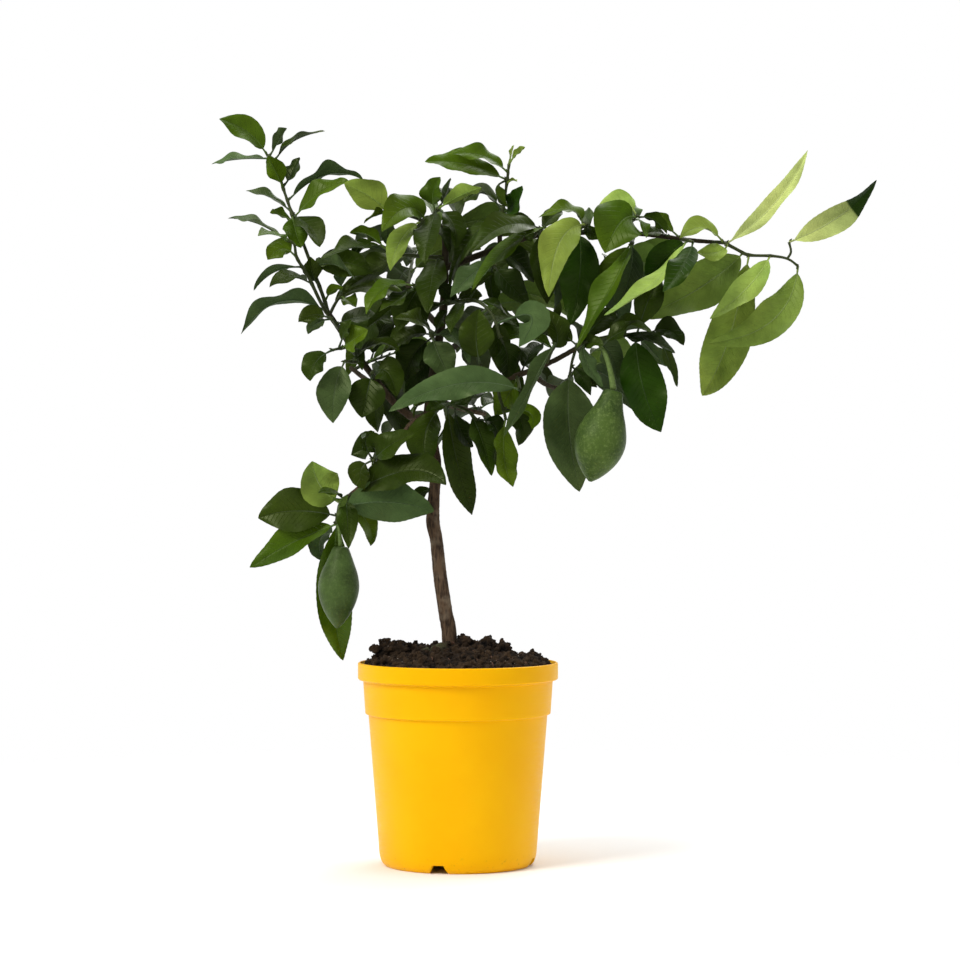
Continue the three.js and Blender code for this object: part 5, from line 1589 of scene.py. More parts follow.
@dataclass
class Pot:
    """Injection-moulded nursery pot: lip, collar, tapered body, and a foot ring with drainage notches."""

    rim: float = 100.0
    top: float = 202.0
    lip: float = 17.0
    collar: float = 94.8
    collar_foot: float = 92.6
    collar_end: float = 151.0
    body: float = 89.4
    base: float = 78.4
    foot: float = 71.5
    foot_round: float = 10.0
    wall: float = 2.2
    floor: float = 8.5
    pad: float = 17.0
    ridge: float = 1.4
    tuck: float = 2.2
    bevel: float = 1.0
    sides: int = 200
    notch_wide: float = 20.0
    notch_narrow: float = 11.0
    notch_high: float = 8.5
    notch_first: float = -14.3
    notches: int = 4
    notch_inner: float = 62.0
    notch_outer: float = 84.0

    def outline(self) -> list[tuple[float, float]]:
        """Gives the wall's section from the axis under the floor round to the axis above it."""
        rim, top, wall, lip_foot = self.rim, self.top, self.wall, self.top - self.lip
        bevel, ridge, inside = self.bevel, self.ridge, self.floor + wall
        return rounded([
            (0, 0, 0), (self.pad, 0, 0.8), (self.pad + bevel, self.floor, 1.0),
            (self.foot - 2 * ridge, self.floor, 1.5), (self.foot - ridge, 0, 0.7), (self.foot + ridge, 0, 1.5),
            (self.base - self.tuck, self.foot_round / 3, 4.0), (self.base, self.foot_round, 5.0),
            (self.body, self.collar_end - bevel, 0.9), (self.collar_foot, self.collar_end, 0.9),
            (self.collar, lip_foot - bevel, 1.0), (rim - bevel, lip_foot, 0.9), (rim, lip_foot + bevel, 0.9),
            (rim, top - bevel, 1.2), (rim - bevel, top, 0.6), (rim - wall, top, 0.4),
            (rim - wall, lip_foot + wall, 1.2), (self.collar - wall, lip_foot, 1.0),
            (self.body - wall, self.collar_end, 1.0), (self.base - wall, inside, 1.5), (0, inside, 0),
        ])

    def notch_mesh(self) -> bpy.types.Mesh:
        """Makes the wedges that are cut out of the foot ring."""
        work = bmesh.new()
        section = [(-self.notch_wide / 2, -1), (self.notch_wide / 2, -1),
                   (self.notch_narrow / 2, self.notch_high), (-self.notch_narrow / 2, self.notch_high)]
        for number in range(self.notches):
            angle = math.radians(self.notch_first) + 2 * math.pi * number / self.notches
            east, north = (math.cos(angle), math.sin(angle)), (-math.sin(angle), math.cos(angle))
            rings = []
            for depth in (-self.notch_inner, -self.notch_outer):
                ring = [((x * east[0] + depth * north[0]) * MM, (x * east[1] + depth * north[1]) * MM, z * MM)
                        for x, z in section]
                rings.append([work.verts.new(place) for place in ring])
            near, far = rings
            work.faces.new(near)
            work.faces.new(list(reversed(far)))
            for k in range(4):
                work.faces.new([near[k], far[k], far[(k + 1) % 4], near[(k + 1) % 4]])
        bmesh.ops.recalc_face_normals(work, faces=work.faces)
        mesh = bpy.data.meshes.new("notches")
        work.to_mesh(mesh)
        work.free()
        return mesh

    def build(self, plastic: bpy.types.Material) -> bpy.types.Object:
        """Builds and dresses the pot.

        Args:
            plastic: The pot's material.

        Returns:
            The finished piece.
        """
        turned = new_object("pot_turned", lathe("pot_turned", self.outline(), self.sides))
        cutter = new_object("pot_notches", self.notch_mesh())
        cut = turned.modifiers.new("notches", "BOOLEAN")
        cut.object, cut.operation, cut.solver = cutter, "DIFFERENCE", "EXACT"
        piece = applied("nursery_pot", turned)
        bpy.data.objects.remove(cutter)
        piece.data.materials.clear()
        piece.data.materials.append(plastic)
        return dress(piece, ["pot"])


# ------------------------------------------------------------------ soil

def soil_tree() -> bpy.types.NodeTree:
    """Builds the tree that roughens the mound and strews crumbs, clods, chips and grit over it.

    Returns:
        The geometry tree.
    """
    tree, given = geometry_tree("soil_crumbs", {
        "Lump Height": "NodeSocketFloat", "Lump Size": "NodeSocketFloat", "Seed": "NodeSocketInt",
        "Crumb Size": "NodeSocketFloat", "Crumb Spacing": "NodeSocketFloat", "Clod Size": "NodeSocketFloat",
        "Clod Spacing": "NodeSocketFloat", "Chip Size": "NodeSocketFloat", "Chip Spacing": "NodeSocketFloat",
        "Grit Size": "NodeSocketFloat", "Grit Spacing": "NodeSocketFloat", "Soil": "NodeSocketMaterial",
    })
    mound = add_node(tree, "GeometryNodeInputNamedAttribute", {"Name": "mound"}, data_type="FLOAT")
    level = add_node(tree, NOISE, {"Scale": 260.0, "Detail": 6.0, "Roughness": 0.7})
    for part, share in ((1.0, -1.1), (0.45, -0.8)):  # round lumps with creases between them, large and small
        fineness = add_node(tree, MATH, {0: 1 / part, 1: given.outputs["Lump Size"]}, operation="DIVIDE")
        cells = add_node(tree, "ShaderNodeTexVoronoi", {"Scale": fineness}, feature="F1")
        level = add_node(tree, MATH, {0: cells, 1: share, 2: level}, operation="MULTIPLY_ADD")
    raised = add_node(tree, MATH, {0: level, 1: 0.15}, operation="ADD")
    height = add_node(tree, MATH, {0: raised, 1: given.outputs["Lump Height"]}, operation="MULTIPLY")
    faded = add_node(tree, MATH, {0: height, 1: mound}, operation="MULTIPLY")
    out = add_node(tree, VECTOR, {0: add_node(tree, "GeometryNodeInputNormal"), "Scale": faded},
                   operation="SCALE")
    # painted shade: the lower the ground lies between the lumps, the lower its shade value and the darker the soil's
    # colour; the tops of the lumps are lighter
    tone = add_node(tree, SPAN, {"Value": raised, "From Min": -0.6, "From Max": 0.3, "To Max": 0.5})
    shaded = add_node(tree, "GeometryNodeStoreNamedAttribute",
                      {"Geometry": given.outputs["Geometry"], "Name": "shade", "Value": tone},
                      data_type="FLOAT", domain="POINT")
    ground = add_node(tree, "GeometryNodeSetPosition", {"Geometry": shaded, "Offset": out})
    is_mound = add_node(tree, "FunctionNodeCompare", {0: mound, 1: 0.04}, operation="GREATER_THAN")

    joined = add_node(tree, "GeometryNodeJoinGeometry")
    tree.links.new(ground.outputs[0], joined.inputs[0])
    strewn = (  # name, fineness of the ball, flattening, darkest and lightest shade
        ("Crumb", 1, (1.0, 0.8, 0.7), 0.0, 0.4), ("Clod", 3, (1.0, 0.85, 0.7), 0.0, 0.45),
        ("Chip", 1, (1.0, 0.5, 0.22), 0.4, 0.85), ("Grit", 1, (1.0, 0.8, 0.6), 0.8, 1.0),
    )
    for number, (name, rounds, form, darkest, lightest) in enumerate(strewn):
        seed = add_node(tree, MATH, {0: given.outputs["Seed"], 1: float(number)}, operation="ADD")
        spots = add_node(tree, "GeometryNodeDistributePointsOnFaces",
                         {"Mesh": ground, "Selection": is_mound, "Distance Min": given.outputs[name + " Spacing"],
                          "Density Max": 4.0e5, "Seed": seed}, distribute_method="POISSON")
        ball = add_node(tree, "GeometryNodeMeshIcoSphere", {"Radius": 0.5, "Subdivisions": rounds})
        dents = add_node(tree, NOISE, {"Scale": 2.2 + number, "Detail": 3.0})
        dent = add_node(tree, MATH, {0: dents, 1: 0.5}, operation="SUBTRACT")
        push = add_node(tree, VECTOR, {0: add_node(tree, "GeometryNodeInputNormal"), "Scale": dent},
                        operation="SCALE")
        lumpy = add_node(tree, "GeometryNodeSetPosition", {"Geometry": ball, "Offset": push})
        flat = add_node(tree, "GeometryNodeTransform", {"Geometry": lumpy, "Scale": form})
        turn = add_node(tree, "FunctionNodeRandomValue", {"Min": (0, 0, 0), "Max": (6.3, 6.3, 6.3), "Seed": seed},
                        data_type="FLOAT_VECTOR")
        spread = add_node(tree, "FunctionNodeRandomValue", {2: 0.45, 3: 1.35, "Seed": seed}, data_type="FLOAT")
        size = add_node(tree, MATH, {0: spread.outputs[1], 1: given.outputs[name + " Size"]},
                        operation="MULTIPLY")
        bits = add_node(tree, "GeometryNodeInstanceOnPoints",
                        {"Points": spots.outputs["Points"], "Instance": flat, "Rotation": turn, "Scale": size})
        tint = add_node(tree, "FunctionNodeRandomValue", {2: darkest, 3: lightest, "Seed": seed}, data_type="FLOAT")
        tinted = add_node(tree, "GeometryNodeStoreNamedAttribute",
                          {"Geometry": bits, "Name": "shade", "Value": tint.outputs[1]},
                          data_type="FLOAT", domain="INSTANCE")
        tree.links.new(tinted.outputs[0], joined.inputs[0])
    real = add_node(tree, "GeometryNodeRealizeInstances", {"Geometry": joined})
    result = add_node(tree, "GeometryNodeSetMaterial", {"Geometry": real, "Material": given.outputs["Soil"]})
    add_node(tree, "NodeGroupOutput", {"Geometry": result})
    return tree


@dataclass
class Soil:
    """A crumbly mound of potting soil that fills the pot and stands above its rim."""

    edge: float = 198.5  # height where it meets the wall
    crown: float = 18.0  # rise from there to the middle
    fullness: float = 2.4  # how flat the dome stays before it falls to the edge
    radius: float = 97.0
    foot_height: float = 20.0
    foot_radius: float = 75.0
    neck_height: float = 184.0  # where the buried side bends out to the edge
    neck_radius: float = 90.0
    rings: int = 84
    sides: int = 240
    lumps: tuple[tuple[float, float, float, float], ...] = (  # x, y, height, spread
        (-16, 0, 6, 11), (16, 2, 6, 18), (-38, -10, -2, 9), (30, -52, -3, 10), (20, 48, 3, 18), (-50, 52, 3, 16),
        (-86, -8, 4.5, 8), (84, -12, 2.5, 7),
    )
    clods: tuple[tuple[float, ...], ...] = (  # x, y and z of the middle, then half its length, width and height
        (-64, -2, 214, 22, 16, 11.5), (-38, -36, 209, 12, 11, 9), (7, -3, 220, 12, 11, 10),
        (30, -2, 218.5, 11, 10, 9), (45, -12, 215, 9, 9, 9), (72, -4, 205, 16, 12, 9), (12, -48, 210, 12, 10, 7),
        (-72, -38, 203, 11, 9, 7), (22, 46, 215, 14, 11, 8), (-44, 48, 211, 14, 12, 9),
    )
    clod_fill: float = 0.98  # how much of its corners' ball a rounded clod fills
    clod_turn: float = 2.1  # radians between the way one clod lies and the next

    def height(self, x: float, y: float) -> float:
        """Gives the mound's height at a place, in millimetres."""
        share = min(1.0, math.hypot(x, y) / self.radius)
        lumps = sum(high * math.exp(-((x - cx) ** 2 + (y - cy) ** 2) / (2 * spread ** 2))
                    for cx, cy, high, spread in self.lumps)
        return self.edge + self.crown * (1 - share ** self.fullness) + lumps * (1 - share ** 6)

    def mesh(self) -> bpy.types.Mesh:
        """Makes the mound with its buried sides, and marks how much each point belongs to the open mound."""
        work = bmesh.new()
        mark = work.verts.layers.float.new("mound")
        shares = [1 - (k / self.rings) ** 0.8 for k in range(self.rings)]
        rings = [(self.foot_radius, self.foot_height), (self.neck_radius, self.neck_height)]
        rings += [(self.radius * share, None) for share in shares]
        made = []
        for radius, height in rings:
            verts = []
            for k in range(self.sides):
                angle = 2 * math.pi * k / self.sides
                x, y = radius * math.cos(angle), radius * math.sin(angle)
                z = self.height(x, y) if height is None else height
                vertex = work.verts.new((x * MM, y * MM, z * MM))
                vertex[mark] = 0.0 if height is not None else min(1.0, (self.radius - radius) / 6)
                verts.append(vertex)
            made.append(verts)
        for low, high in zip(made, made[1:]):
            for k in range(self.sides):
                work.faces.new([low[k], low[(k + 1) % self.sides], high[(k + 1) % self.sides], high[k]])
        bottom = work.verts.new((0, 0, self.foot_height * MM))
        middle = work.verts.new((0, 0, self.height(0, 0) * MM))
        middle[mark] = 1.0
        for k in range(self.sides):
            work.faces.new([made[0][(k + 1) % self.sides], made[0][k], bottom])
            work.faces.new([made[-1][k], made[-1][(k + 1) % self.sides], middle])
        for number, (x, y, z, *half) in enumerate(self.clods):
            form = Matrix.Translation((x * MM, y * MM, z * MM)) @ Matrix.Diagonal((*half, 1)) \
                @ Matrix.Scale(MM * self.clod_fill, 4) @ Matrix.Rotation(self.clod_turn * number, 4, "Z")
            ball = bmesh.ops.create_icosphere(work, subdivisions=5, radius=1.0, matrix=form)
            for vertex in ball["verts"]:
                vertex[mark] = 1.0
        mesh = bpy.data.meshes.new("soil_mound")
        work.to_mesh(mesh)
        work.free()
        return mesh

    def build(self, soil: bpy.types.Material) -> bpy.types.Object:
        """Builds and dresses the soil.

        Args:
            soil: The soil's material.

        Returns:
            The finished piece.
        """
        piece = grown("potting_soil", self.mesh(), soil_tree(), {
            "Lump Height": 6 * MM, "Lump Size": 13 * MM, "Seed": 7,
            "Crumb Size": 3 * MM, "Crumb Spacing": 5 * MM, "Clod Size": 8 * MM, "Clod Spacing": 9 * MM,
            "Chip Size": 7 * MM, "Chip Spacing": 17 * MM, "Grit Size": 1.5 * MM, "Grit Spacing": 10 * MM,
            "Soil": soil,
        })
        return dress(piece, ["soil"])


# ------------------------------------------------------------------ finishes

DULL = 0.2  # specular level of skins and grounds that hardly mirror the sky


def start_material(name: str) -> tuple[bpy.types.Material, bpy.types.NodeTree, bpy.types.Node,
                                       bpy.types.NodeSocket]:
    """Starts a material and gives it with its tree, its shader and the place on the object."""
    material = bpy.data.materials.new(name)
    material.use_nodes = True
    tree = material.node_tree
    return material, tree, tree.nodes["Principled BSDF"], add_node(tree, "ShaderNodeTexCoord").outputs["Object"]


@dataclass(frozen=True)
class LeafFinish:
    """Waxy citrus leaf: an even green with a paler midrib and side veins, and a soft broad gloss.

    The side veins stand 6.5 mm apart, and the finest pattern, the grain of the wax, is drawn at about 1 mm,
    coarser than it is, so that it shows.
    """

    name: str
    tint: str  # the layer that holds the leaf's own colour
    midrib: float  # how much lighter the midrib is
    veins: float  # how much lighter the side veins are
    vein_height: float  # above the blade, or below it where negative, in metres
    roughness: float
    sheen: float  # strength of the cuticle's reflection, 0.5 for bare wax
    grain: float = 1000.0  # a pattern 1 mm wide
    mottle: float = 90.0  # a pattern 11 mm wide
    drift: float = 18.0  # a pattern 55 mm wide
    grain_height: float = 0.00001  # in metres
    glow: str = "#DDE8A8"  # the colour of the cuticle's reflection

    def build(self) -> bpy.types.Material:
        """Builds the material."""
        material, tree, shader, place = start_material(self.name)
        layer = {name: add_node(tree, "ShaderNodeAttribute", attribute_name=name).outputs["Fac"]
                 for name in ("v", "vein", "share")}
        tint = add_node(tree, "ShaderNodeAttribute", attribute_name=self.tint).outputs["Color"]
        off_rib = add_node(tree, MATH, {0: layer["v"]}, operation="ABSOLUTE")
        rib_width = add_node(tree, MATH, {0: layer["share"], 1: -0.05, 2: 0.07}, operation="MULTIPLY_ADD")
        midrib = add_node(tree, SPAN, {"Value": off_rib, "From Min": rib_width, "From Max": 0.0},
                          interpolation_type="SMOOTHSTEP")
        turn = add_node(tree, MATH, {0: layer["vein"]}, operation="FRACT")
        centred = add_node(tree, MATH, {0: turn, 1: 0.5}, operation="SUBTRACT")
        to_vein = add_node(tree, MATH, {0: centred}, operation="ABSOLUTE")
        line = add_node(tree, SPAN, {"Value": to_vein, "From Min": 0.4, "From Max": 0.5},
                        interpolation_type="SMOOTHSTEP")
        inner = add_node(tree, SPAN, {"Value": off_rib, "From Min": 0.9, "From Max": 0.45})
        side_vein = add_node(tree, MATH, {0: line, 1: inner}, operation="MULTIPLY")
        mottle = add_node(tree, NOISE, {"Vector": place, "Scale": self.mottle, "Detail": 3.0})
        fine = add_node(tree, NOISE, {"Vector": place, "Scale": self.grain, "Detail": 2.0})

        drift = add_node(tree, NOISE, {"Vector": place, "Scale": self.drift, "Detail": 1.0})
        broad = add_node(tree, SPAN, {"Value": drift, "From Min": 0.32, "From Max": 0.68, "To Min": -0.14,
                                      "To Max": 0.14})
        spots = add_node(tree, SPAN, {"Value": mottle, "From Min": 0.3, "From Max": 0.7, "To Min": 0.86,
                                      "To Max": 1.14})
        patches = add_node(tree, MATH, {0: spots, 1: broad}, operation="ADD")
        hue = add_node(tree, SPAN, {"Value": drift, "From Min": 0.3, "From Max": 0.7, "To Min": 0.507,
                                    "To Max": 0.49})
        with_veins = add_node(tree, MATH, {0: side_vein, 1: self.veins, 2: patches}, operation="MULTIPLY_ADD")
        value = add_node(tree, MATH, {0: midrib, 1: self.midrib, 2: with_veins}, operation="MULTIPLY_ADD")
        speck = add_node(tree, SPAN, {"Value": fine, "From Min": 0.35, "From Max": 0.65, "To Min": 0.95,
                                      "To Max": 1.05})
        # painted light and shade: the blade's half on one side of the midrib is 7 % lighter and the other 7 % darker,
        # as if the fold turned them to and from the light
        aside = add_node(tree, SPAN, {"Value": layer["v"], "From Min": -0.15, "From Max": 0.15, "To Min": 0.93,
                                      "To Max": 1.07})
        half = add_node(tree, MATH, {0: value, 1: aside}, operation="MULTIPLY")
        brightness = add_node(tree, MATH, {0: half, 1: speck}, operation="MULTIPLY")
        paler = add_node(tree, MATH, {0: midrib, 1: -0.22, 2: 1.0}, operation="MULTIPLY_ADD")
        colour = add_node(tree, "ShaderNodeHueSaturation", {"Color": tint, "Value": brightness, "Saturation": paler,
                                                             "Hue": hue})

        wax = add_node(tree, SPAN, {"Value": mottle, "From Min": 0.3, "From Max": 0.7,
                                    "To Min": self.roughness - 0.07, "To Max": self.roughness + 0.07})
        ribs = add_node(tree, MATH, {0: midrib, 1: 1.6, 2: side_vein}, operation="MULTIPLY_ADD")
        relief = add_node(tree, MATH, {0: ribs, 1: self.vein_height}, operation="MULTIPLY")
        raised = add_node(tree, MATH, {0: fine, 1: self.grain_height, 2: relief}, operation="MULTIPLY_ADD")
        bump = add_node(tree, BUMP, {"Height": raised, "Strength": 0.8, "Distance": 1.0})
        feed(tree, shader, {"Base Color": colour, "Roughness": wax, "Normal": bump, "IOR": 1.45,
                            "Specular IOR Level": self.sheen, "Specular Tint": linear(self.glow)})
        return material


@dataclass(frozen=True)
class GreenWoodFinish:
    """Green young shoot and leaf stalk: ribbed green skin, duller and paler than the leaf's upper face."""

    name: str = "green_shoot_skin"
    streak: float = 420.0  # a pattern 2.4 mm wide

    def build(self) -> bpy.types.Material:
        """Builds the material."""
        material, tree, shader, place = start_material(self.name)
        tint = add_node(tree, "ShaderNodeAttribute", attribute_name="upper").outputs["Color"]
        streaks = add_node(tree, NOISE, {"Vector": place, "Scale": self.streak, "Detail": 3.0})
        value = add_node(tree, SPAN, {"Value": streaks, "From Min": 0.3, "From Max": 0.7, "To Min": 0.7,
                                      "To Max": 1.25})
        colour = add_node(tree, "ShaderNodeHueSaturation", {"Color": tint, "Value": value})
        height = add_node(tree, MATH, {0: streaks, 1: 0.0004}, operation="MULTIPLY")
        bump = add_node(tree, BUMP, {"Height": height, "Strength": 0.6, "Distance": 1.0})
        feed(tree, shader, {"Base Color": colour, "Roughness": 0.55, "Normal": bump, "Specular IOR Level": DULL})
        return material


@dataclass(frozen=True)
class BarkFinish:
    """Young citrus bark: grey-brown, lengthwise fissures about 2.5 mm apart, rusty patches, no gloss."""

    name: str = "young_citrus_bark"
    deep: str = "#241A13"
    face: str = "#5A4735"
    pale: str = "#7A6B58"
    rust: str = "#643E2A"
    young: str = "#242210"  # up in the crown: the limbs' skin, still half green, and painted shade, darker than that skin is
    fissure: float = 400.0  # a pattern 2.5 mm wide
    patch: float = 60.0  # a pattern 17 mm wide
    grain: float = 1500.0  # a pattern 0.7 mm wide
    stretch: float = 0.16  # a fissure's width as a share of its length

    def build(self) -> bpy.types.Material:
        """Builds the material."""
        material, tree, shader, place = start_material(self.name)
        drawn = add_node(tree, "ShaderNodeMapping", {"Vector": place, "Scale": (1.0, 1.0, self.stretch)})
        cracks = add_node(tree, NOISE, {"Vector": drawn, "Scale": self.fissure, "Detail": 5.0, "Roughness": 0.65})
        patches = add_node(tree, NOISE, {"Vector": place, "Scale": self.patch, "Detail": 4.0})
        grain = add_node(tree, NOISE, {"Vector": place, "Scale": self.grain, "Detail": 2.0})
        open_crack = add_node(tree, SPAN, {"Value": cracks, "From Min": 0.36, "From Max": 0.56})
        colour = add_node(tree, MIX, {0: open_crack, 6: linear(self.deep), 7: linear(self.face)}, data_type="RGBA")
        height = add_node(tree, "ShaderNodeSeparateXYZ", {"Vector": place}).outputs["Z"]
        layers = (  # what each follows, where it starts and is full, how much it covers, and its colour
            (patches, 0.55, 0.72, 0.75, self.pale), (patches, 0.4, 0.3, 0.3, self.rust),
            # painted shade: above 0.42 m, where the crown shades the limbs, the bark turns dark olive, partly for the
            # greener skin of the young limbs
            (height, 0.42, 0.5, 0.85, self.young),
        )
        for value, start, full, most, code in layers:
            part = add_node(tree, SPAN, {"Value": value, "From Min": start, "From Max": full, "To Max": most})
            colour = add_node(tree, MIX, {0: part, 6: colour, 7: linear(code)}, data_type="RGBA")
        relief = add_node(tree, MATH, {0: cracks, 1: 0.0014}, operation="MULTIPLY")
        height = add_node(tree, MATH, {0: grain, 1: 0.0003, 2: relief}, operation="MULTIPLY_ADD")
        bump = add_node(tree, BUMP, {"Height": height, "Strength": 0.9, "Distance": 1.0})
        feed(tree, shader, {"Base Color": colour, "Roughness": 0.88, "Normal": bump, "Specular IOR Level": DULL})
        return material


@dataclass(frozen=True)
class PeelFinish:
    """Green lemon peel: waxy, dimpled by oil glands 1.3 mm apart, darker in broad clouds, paler in flecks."""

    name: str
    ground: str
    dark: str
    pale: str
    gland: float = 770.0  # a pattern 1.3 mm wide
    cloud: float = 45.0  # a pattern 22 mm wide
    fleck: float = 330.0  # a pattern 3 mm wide
    glow: str = "#E4EEC0"  # the colour of the wax's reflection

    def build(self) -> bpy.types.Material:
        """Builds the material."""
        material, tree, shader, place = start_material(self.name)
        glands = add_node(tree, "ShaderNodeTexVoronoi", {"Vector": place, "Scale": self.gland}, feature="F1")
        broad = add_node(tree, NOISE, {"Vector": place, "Scale": self.cloud, "Detail": 3.0})
        flecks = add_node(tree, NOISE, {"Vector": place, "Scale": self.fleck, "Detail": 4.0, "Roughness": 0.7})
        deep = add_node(tree, SPAN, {"Value": broad, "From Min": 0.35, "From Max": 0.65})
        colour = add_node(tree, MIX, {0: deep, 6: linear(self.dark), 7: linear(self.ground)}, data_type="RGBA")
        pale = add_node(tree, SPAN, {"Value": flecks, "From Min": 0.5, "From Max": 0.72, "To Max": 0.55})
        colour = add_node(tree, MIX, {0: pale, 6: colour, 7: linear(self.pale)}, data_type="RGBA")
        # painted shade: each gland's dimple is darker towards its middle, down to 0.72 of the peel's colour
        dimple = add_node(tree, SPAN, {"Value": glands.outputs["Distance"], "From Min": 0.0, "From Max": 0.45,
                                       "To Min": 0.72, "To Max": 1.0})
        shaded = add_node(tree, "ShaderNodeHueSaturation", {"Color": colour.outputs[2], "Value": dimple})
        relief = add_node(tree, MATH, {0: dimple, 1: 0.0011}, operation="MULTIPLY")
        bump = add_node(tree, BUMP, {"Height": relief, "Strength": 0.7, "Distance": 1.0})
        feed(tree, shader, {"Base Color": shaded, "Roughness": 0.45, "Normal": bump, "IOR": 1.45,
                            "Specular IOR Level": 0.22, "Specular Tint": linear(self.glow)})
        return material


@dataclass(frozen=True)
class PotFinish:
    """Injection-moulded polypropylene: deep warm yellow, satin, faintly translucent, with the fine skin of the
    mould, scuffs that show in its gloss, and splashes of soil about its foot."""

    name: str = "yellow_polypropylene"
    ground: str = "#F0AE00"
    light: str = "#F2B402"
    dirt: str = "#6A4A22"
    mould_skin: float = 1400.0  # a pattern 0.7 mm wide
    cloud: float = 14.0  # a pattern 70 mm wide
    scuff: float = 55.0  # a pattern 18 mm wide, and a ninth of that high
    splash: float = 210.0  # a pattern 5 mm wide
    glow: str = "#FFE08A"  # the colour of the plastic's reflection

    def build(self) -> bpy.types.Material:
        """Builds the material."""
        material, tree, shader, place = start_material(self.name)
        height = add_node(tree, "ShaderNodeSeparateXYZ", {"Vector": place}).outputs["Z"]
        clouds = add_node(tree, NOISE, {"Vector": place, "Scale": self.cloud, "Detail": 3.0})
        skin = add_node(tree, NOISE, {"Vector": place, "Scale": self.mould_skin, "Detail": 2.0})
        flat = add_node(tree, "ShaderNodeMapping", {"Vector": place, "Scale": (1.0, 1.0, 9.0)})
        scuffs = add_node(tree, NOISE, {"Vector": flat, "Scale": self.scuff, "Detail": 7.0, "Roughness": 0.7})
        spots = add_node(tree, NOISE, {"Vector": place, "Scale": self.splash, "Detail": 4.0, "Roughness": 0.7})
        cloudy = add_node(tree, SPAN, {"Value": clouds, "From Min": 0.35, "From Max": 0.65})
        colour = add_node(tree, MIX, {0: cloudy, 6: linear(self.ground), 7: linear(self.light)}, data_type="RGBA")
        foot = add_node(tree, SPAN, {"Value": height, "From Min": 0.02, "From Max": 0.001})
        splash = add_node(tree, SPAN, {"Value": spots, "From Min": 0.6, "From Max": 0.7})
        dusty = add_node(tree, MATH, {0: foot, 1: splash}, operation="MULTIPLY")
        soiled = add_node(tree, MATH, {0: dusty, 1: 0.6}, operation="MULTIPLY")
        colour = add_node(tree, MIX, {0: soiled, 6: colour, 7: linear(self.dirt)}, data_type="RGBA")
        gloss = add_node(tree, SPAN, {"Value": scuffs, "From Min": 0.35, "From Max": 0.7, "To Min": 0.36,
                                      "To Max": 0.54})
        fine = add_node(tree, MATH, {0: skin, 1: 0.00005}, operation="MULTIPLY")
        bump = add_node(tree, BUMP, {"Height": fine, "Strength": 0.5, "Distance": 1.0})
        feed(tree, shader, {"Base Color": colour, "Roughness": gloss, "Normal": bump, "IOR": 1.49,
                            "Specular IOR Level": DULL, "Specular Tint": linear(self.glow),
                            "Subsurface Weight": 0.15, "Subsurface Radius": (1.0, 0.55, 0.1),
                            "Subsurface Scale": 0.004})
        return material


@dataclass(frozen=True)
class SoilFinish:
    """Moist peat-based potting soil: almost black fibre, brown crumbs, tan bark chips and pale grit, all dull."""

    name: str = "peat_potting_soil"
    # almost black: the darkest peat, and painted shade where the ground lies low in its creases
    wet_peat_and_crease_shade: str = "#0B0704"
    crumb: str = "#40301F"
    moss: str = "#55583C"  # a grey-green patch beside the trunk's foot
    chip: str = "#6A4E40"
    grit: str = "#8E857A"
    fibre: float = 700.0  # a pattern 1.4 mm wide
    damp: float = 40.0  # a pattern 25 mm wide
    moss_spot: tuple[float, float, float] = (-0.026, -0.012, 0.22)  # in metres

    def build(self) -> bpy.types.Material:
        """Builds the material."""
        material, tree, shader, place = start_material(self.name)
        shade = add_node(tree, "ShaderNodeAttribute", attribute_name="shade").outputs["Fac"]
        fibre = add_node(tree, NOISE, {"Vector": place, "Scale": self.fibre, "Detail": 5.0, "Roughness": 0.7})
        damp = add_node(tree, NOISE, {"Vector": place, "Scale": self.damp, "Detail": 2.0})
        away = add_node(tree, VECTOR, {0: place, 1: self.moss_spot}, operation="DISTANCE")
        frayed = add_node(tree, MATH, {0: fibre, 1: 0.014, 2: away}, operation="MULTIPLY_ADD")
        # the ground's shade runs from painted shade in its creases, almost black, up to brown crumb on its lumps; the
        # strewn bits get theirs at random
        colour = linear(self.wet_peat_and_crease_shade)
        layers = (  # what each follows, where it starts and is full, how much it covers, and its colour
            (shade, 0.0, 0.5, 1.0, self.crumb), (shade, 0.5, 0.85, 1.0, self.chip),
            (shade, 0.85, 0.97, 1.0, self.grit), (frayed, 0.024, 0.014, 0.7, self.moss),
        )
        for value, start, full, most, code in layers:
            part = add_node(tree, SPAN, {"Value": value, "From Min": start, "From Max": full, "To Max": most})
            colour = add_node(tree, MIX, {0: part, 6: colour, 7: linear(code)}, data_type="RGBA")
        fibrous = add_node(tree, SPAN, {"Value": fibre, "From Min": 0.3, "From Max": 0.7, "To Min": 0.5,
                                        "To Max": 1.5})
        moist = add_node(tree, SPAN, {"Value": damp, "From Min": 0.35, "From Max": 0.65, "To Min": 0.8,
                                      "To Max": 1.15})
        value = add_node(tree, MATH, {0: fibrous, 1: moist}, operation="MULTIPLY")
        shaded = add_node(tree, "ShaderNodeHueSaturation", {"Color": colour.outputs[2], "Value": value})
        relief = add_node(tree, MATH, {0: fibre, 1: 0.0012}, operation="MULTIPLY")
        bump = add_node(tree, BUMP, {"Height": relief, "Strength": 1.0, "Distance": 1.0})
        feed(tree, shader, {"Base Color": shaded, "Roughness": 0.92, "Normal": bump, "Specular IOR Level": DULL})
        return material


# ------------------------------------------------------------------ studio

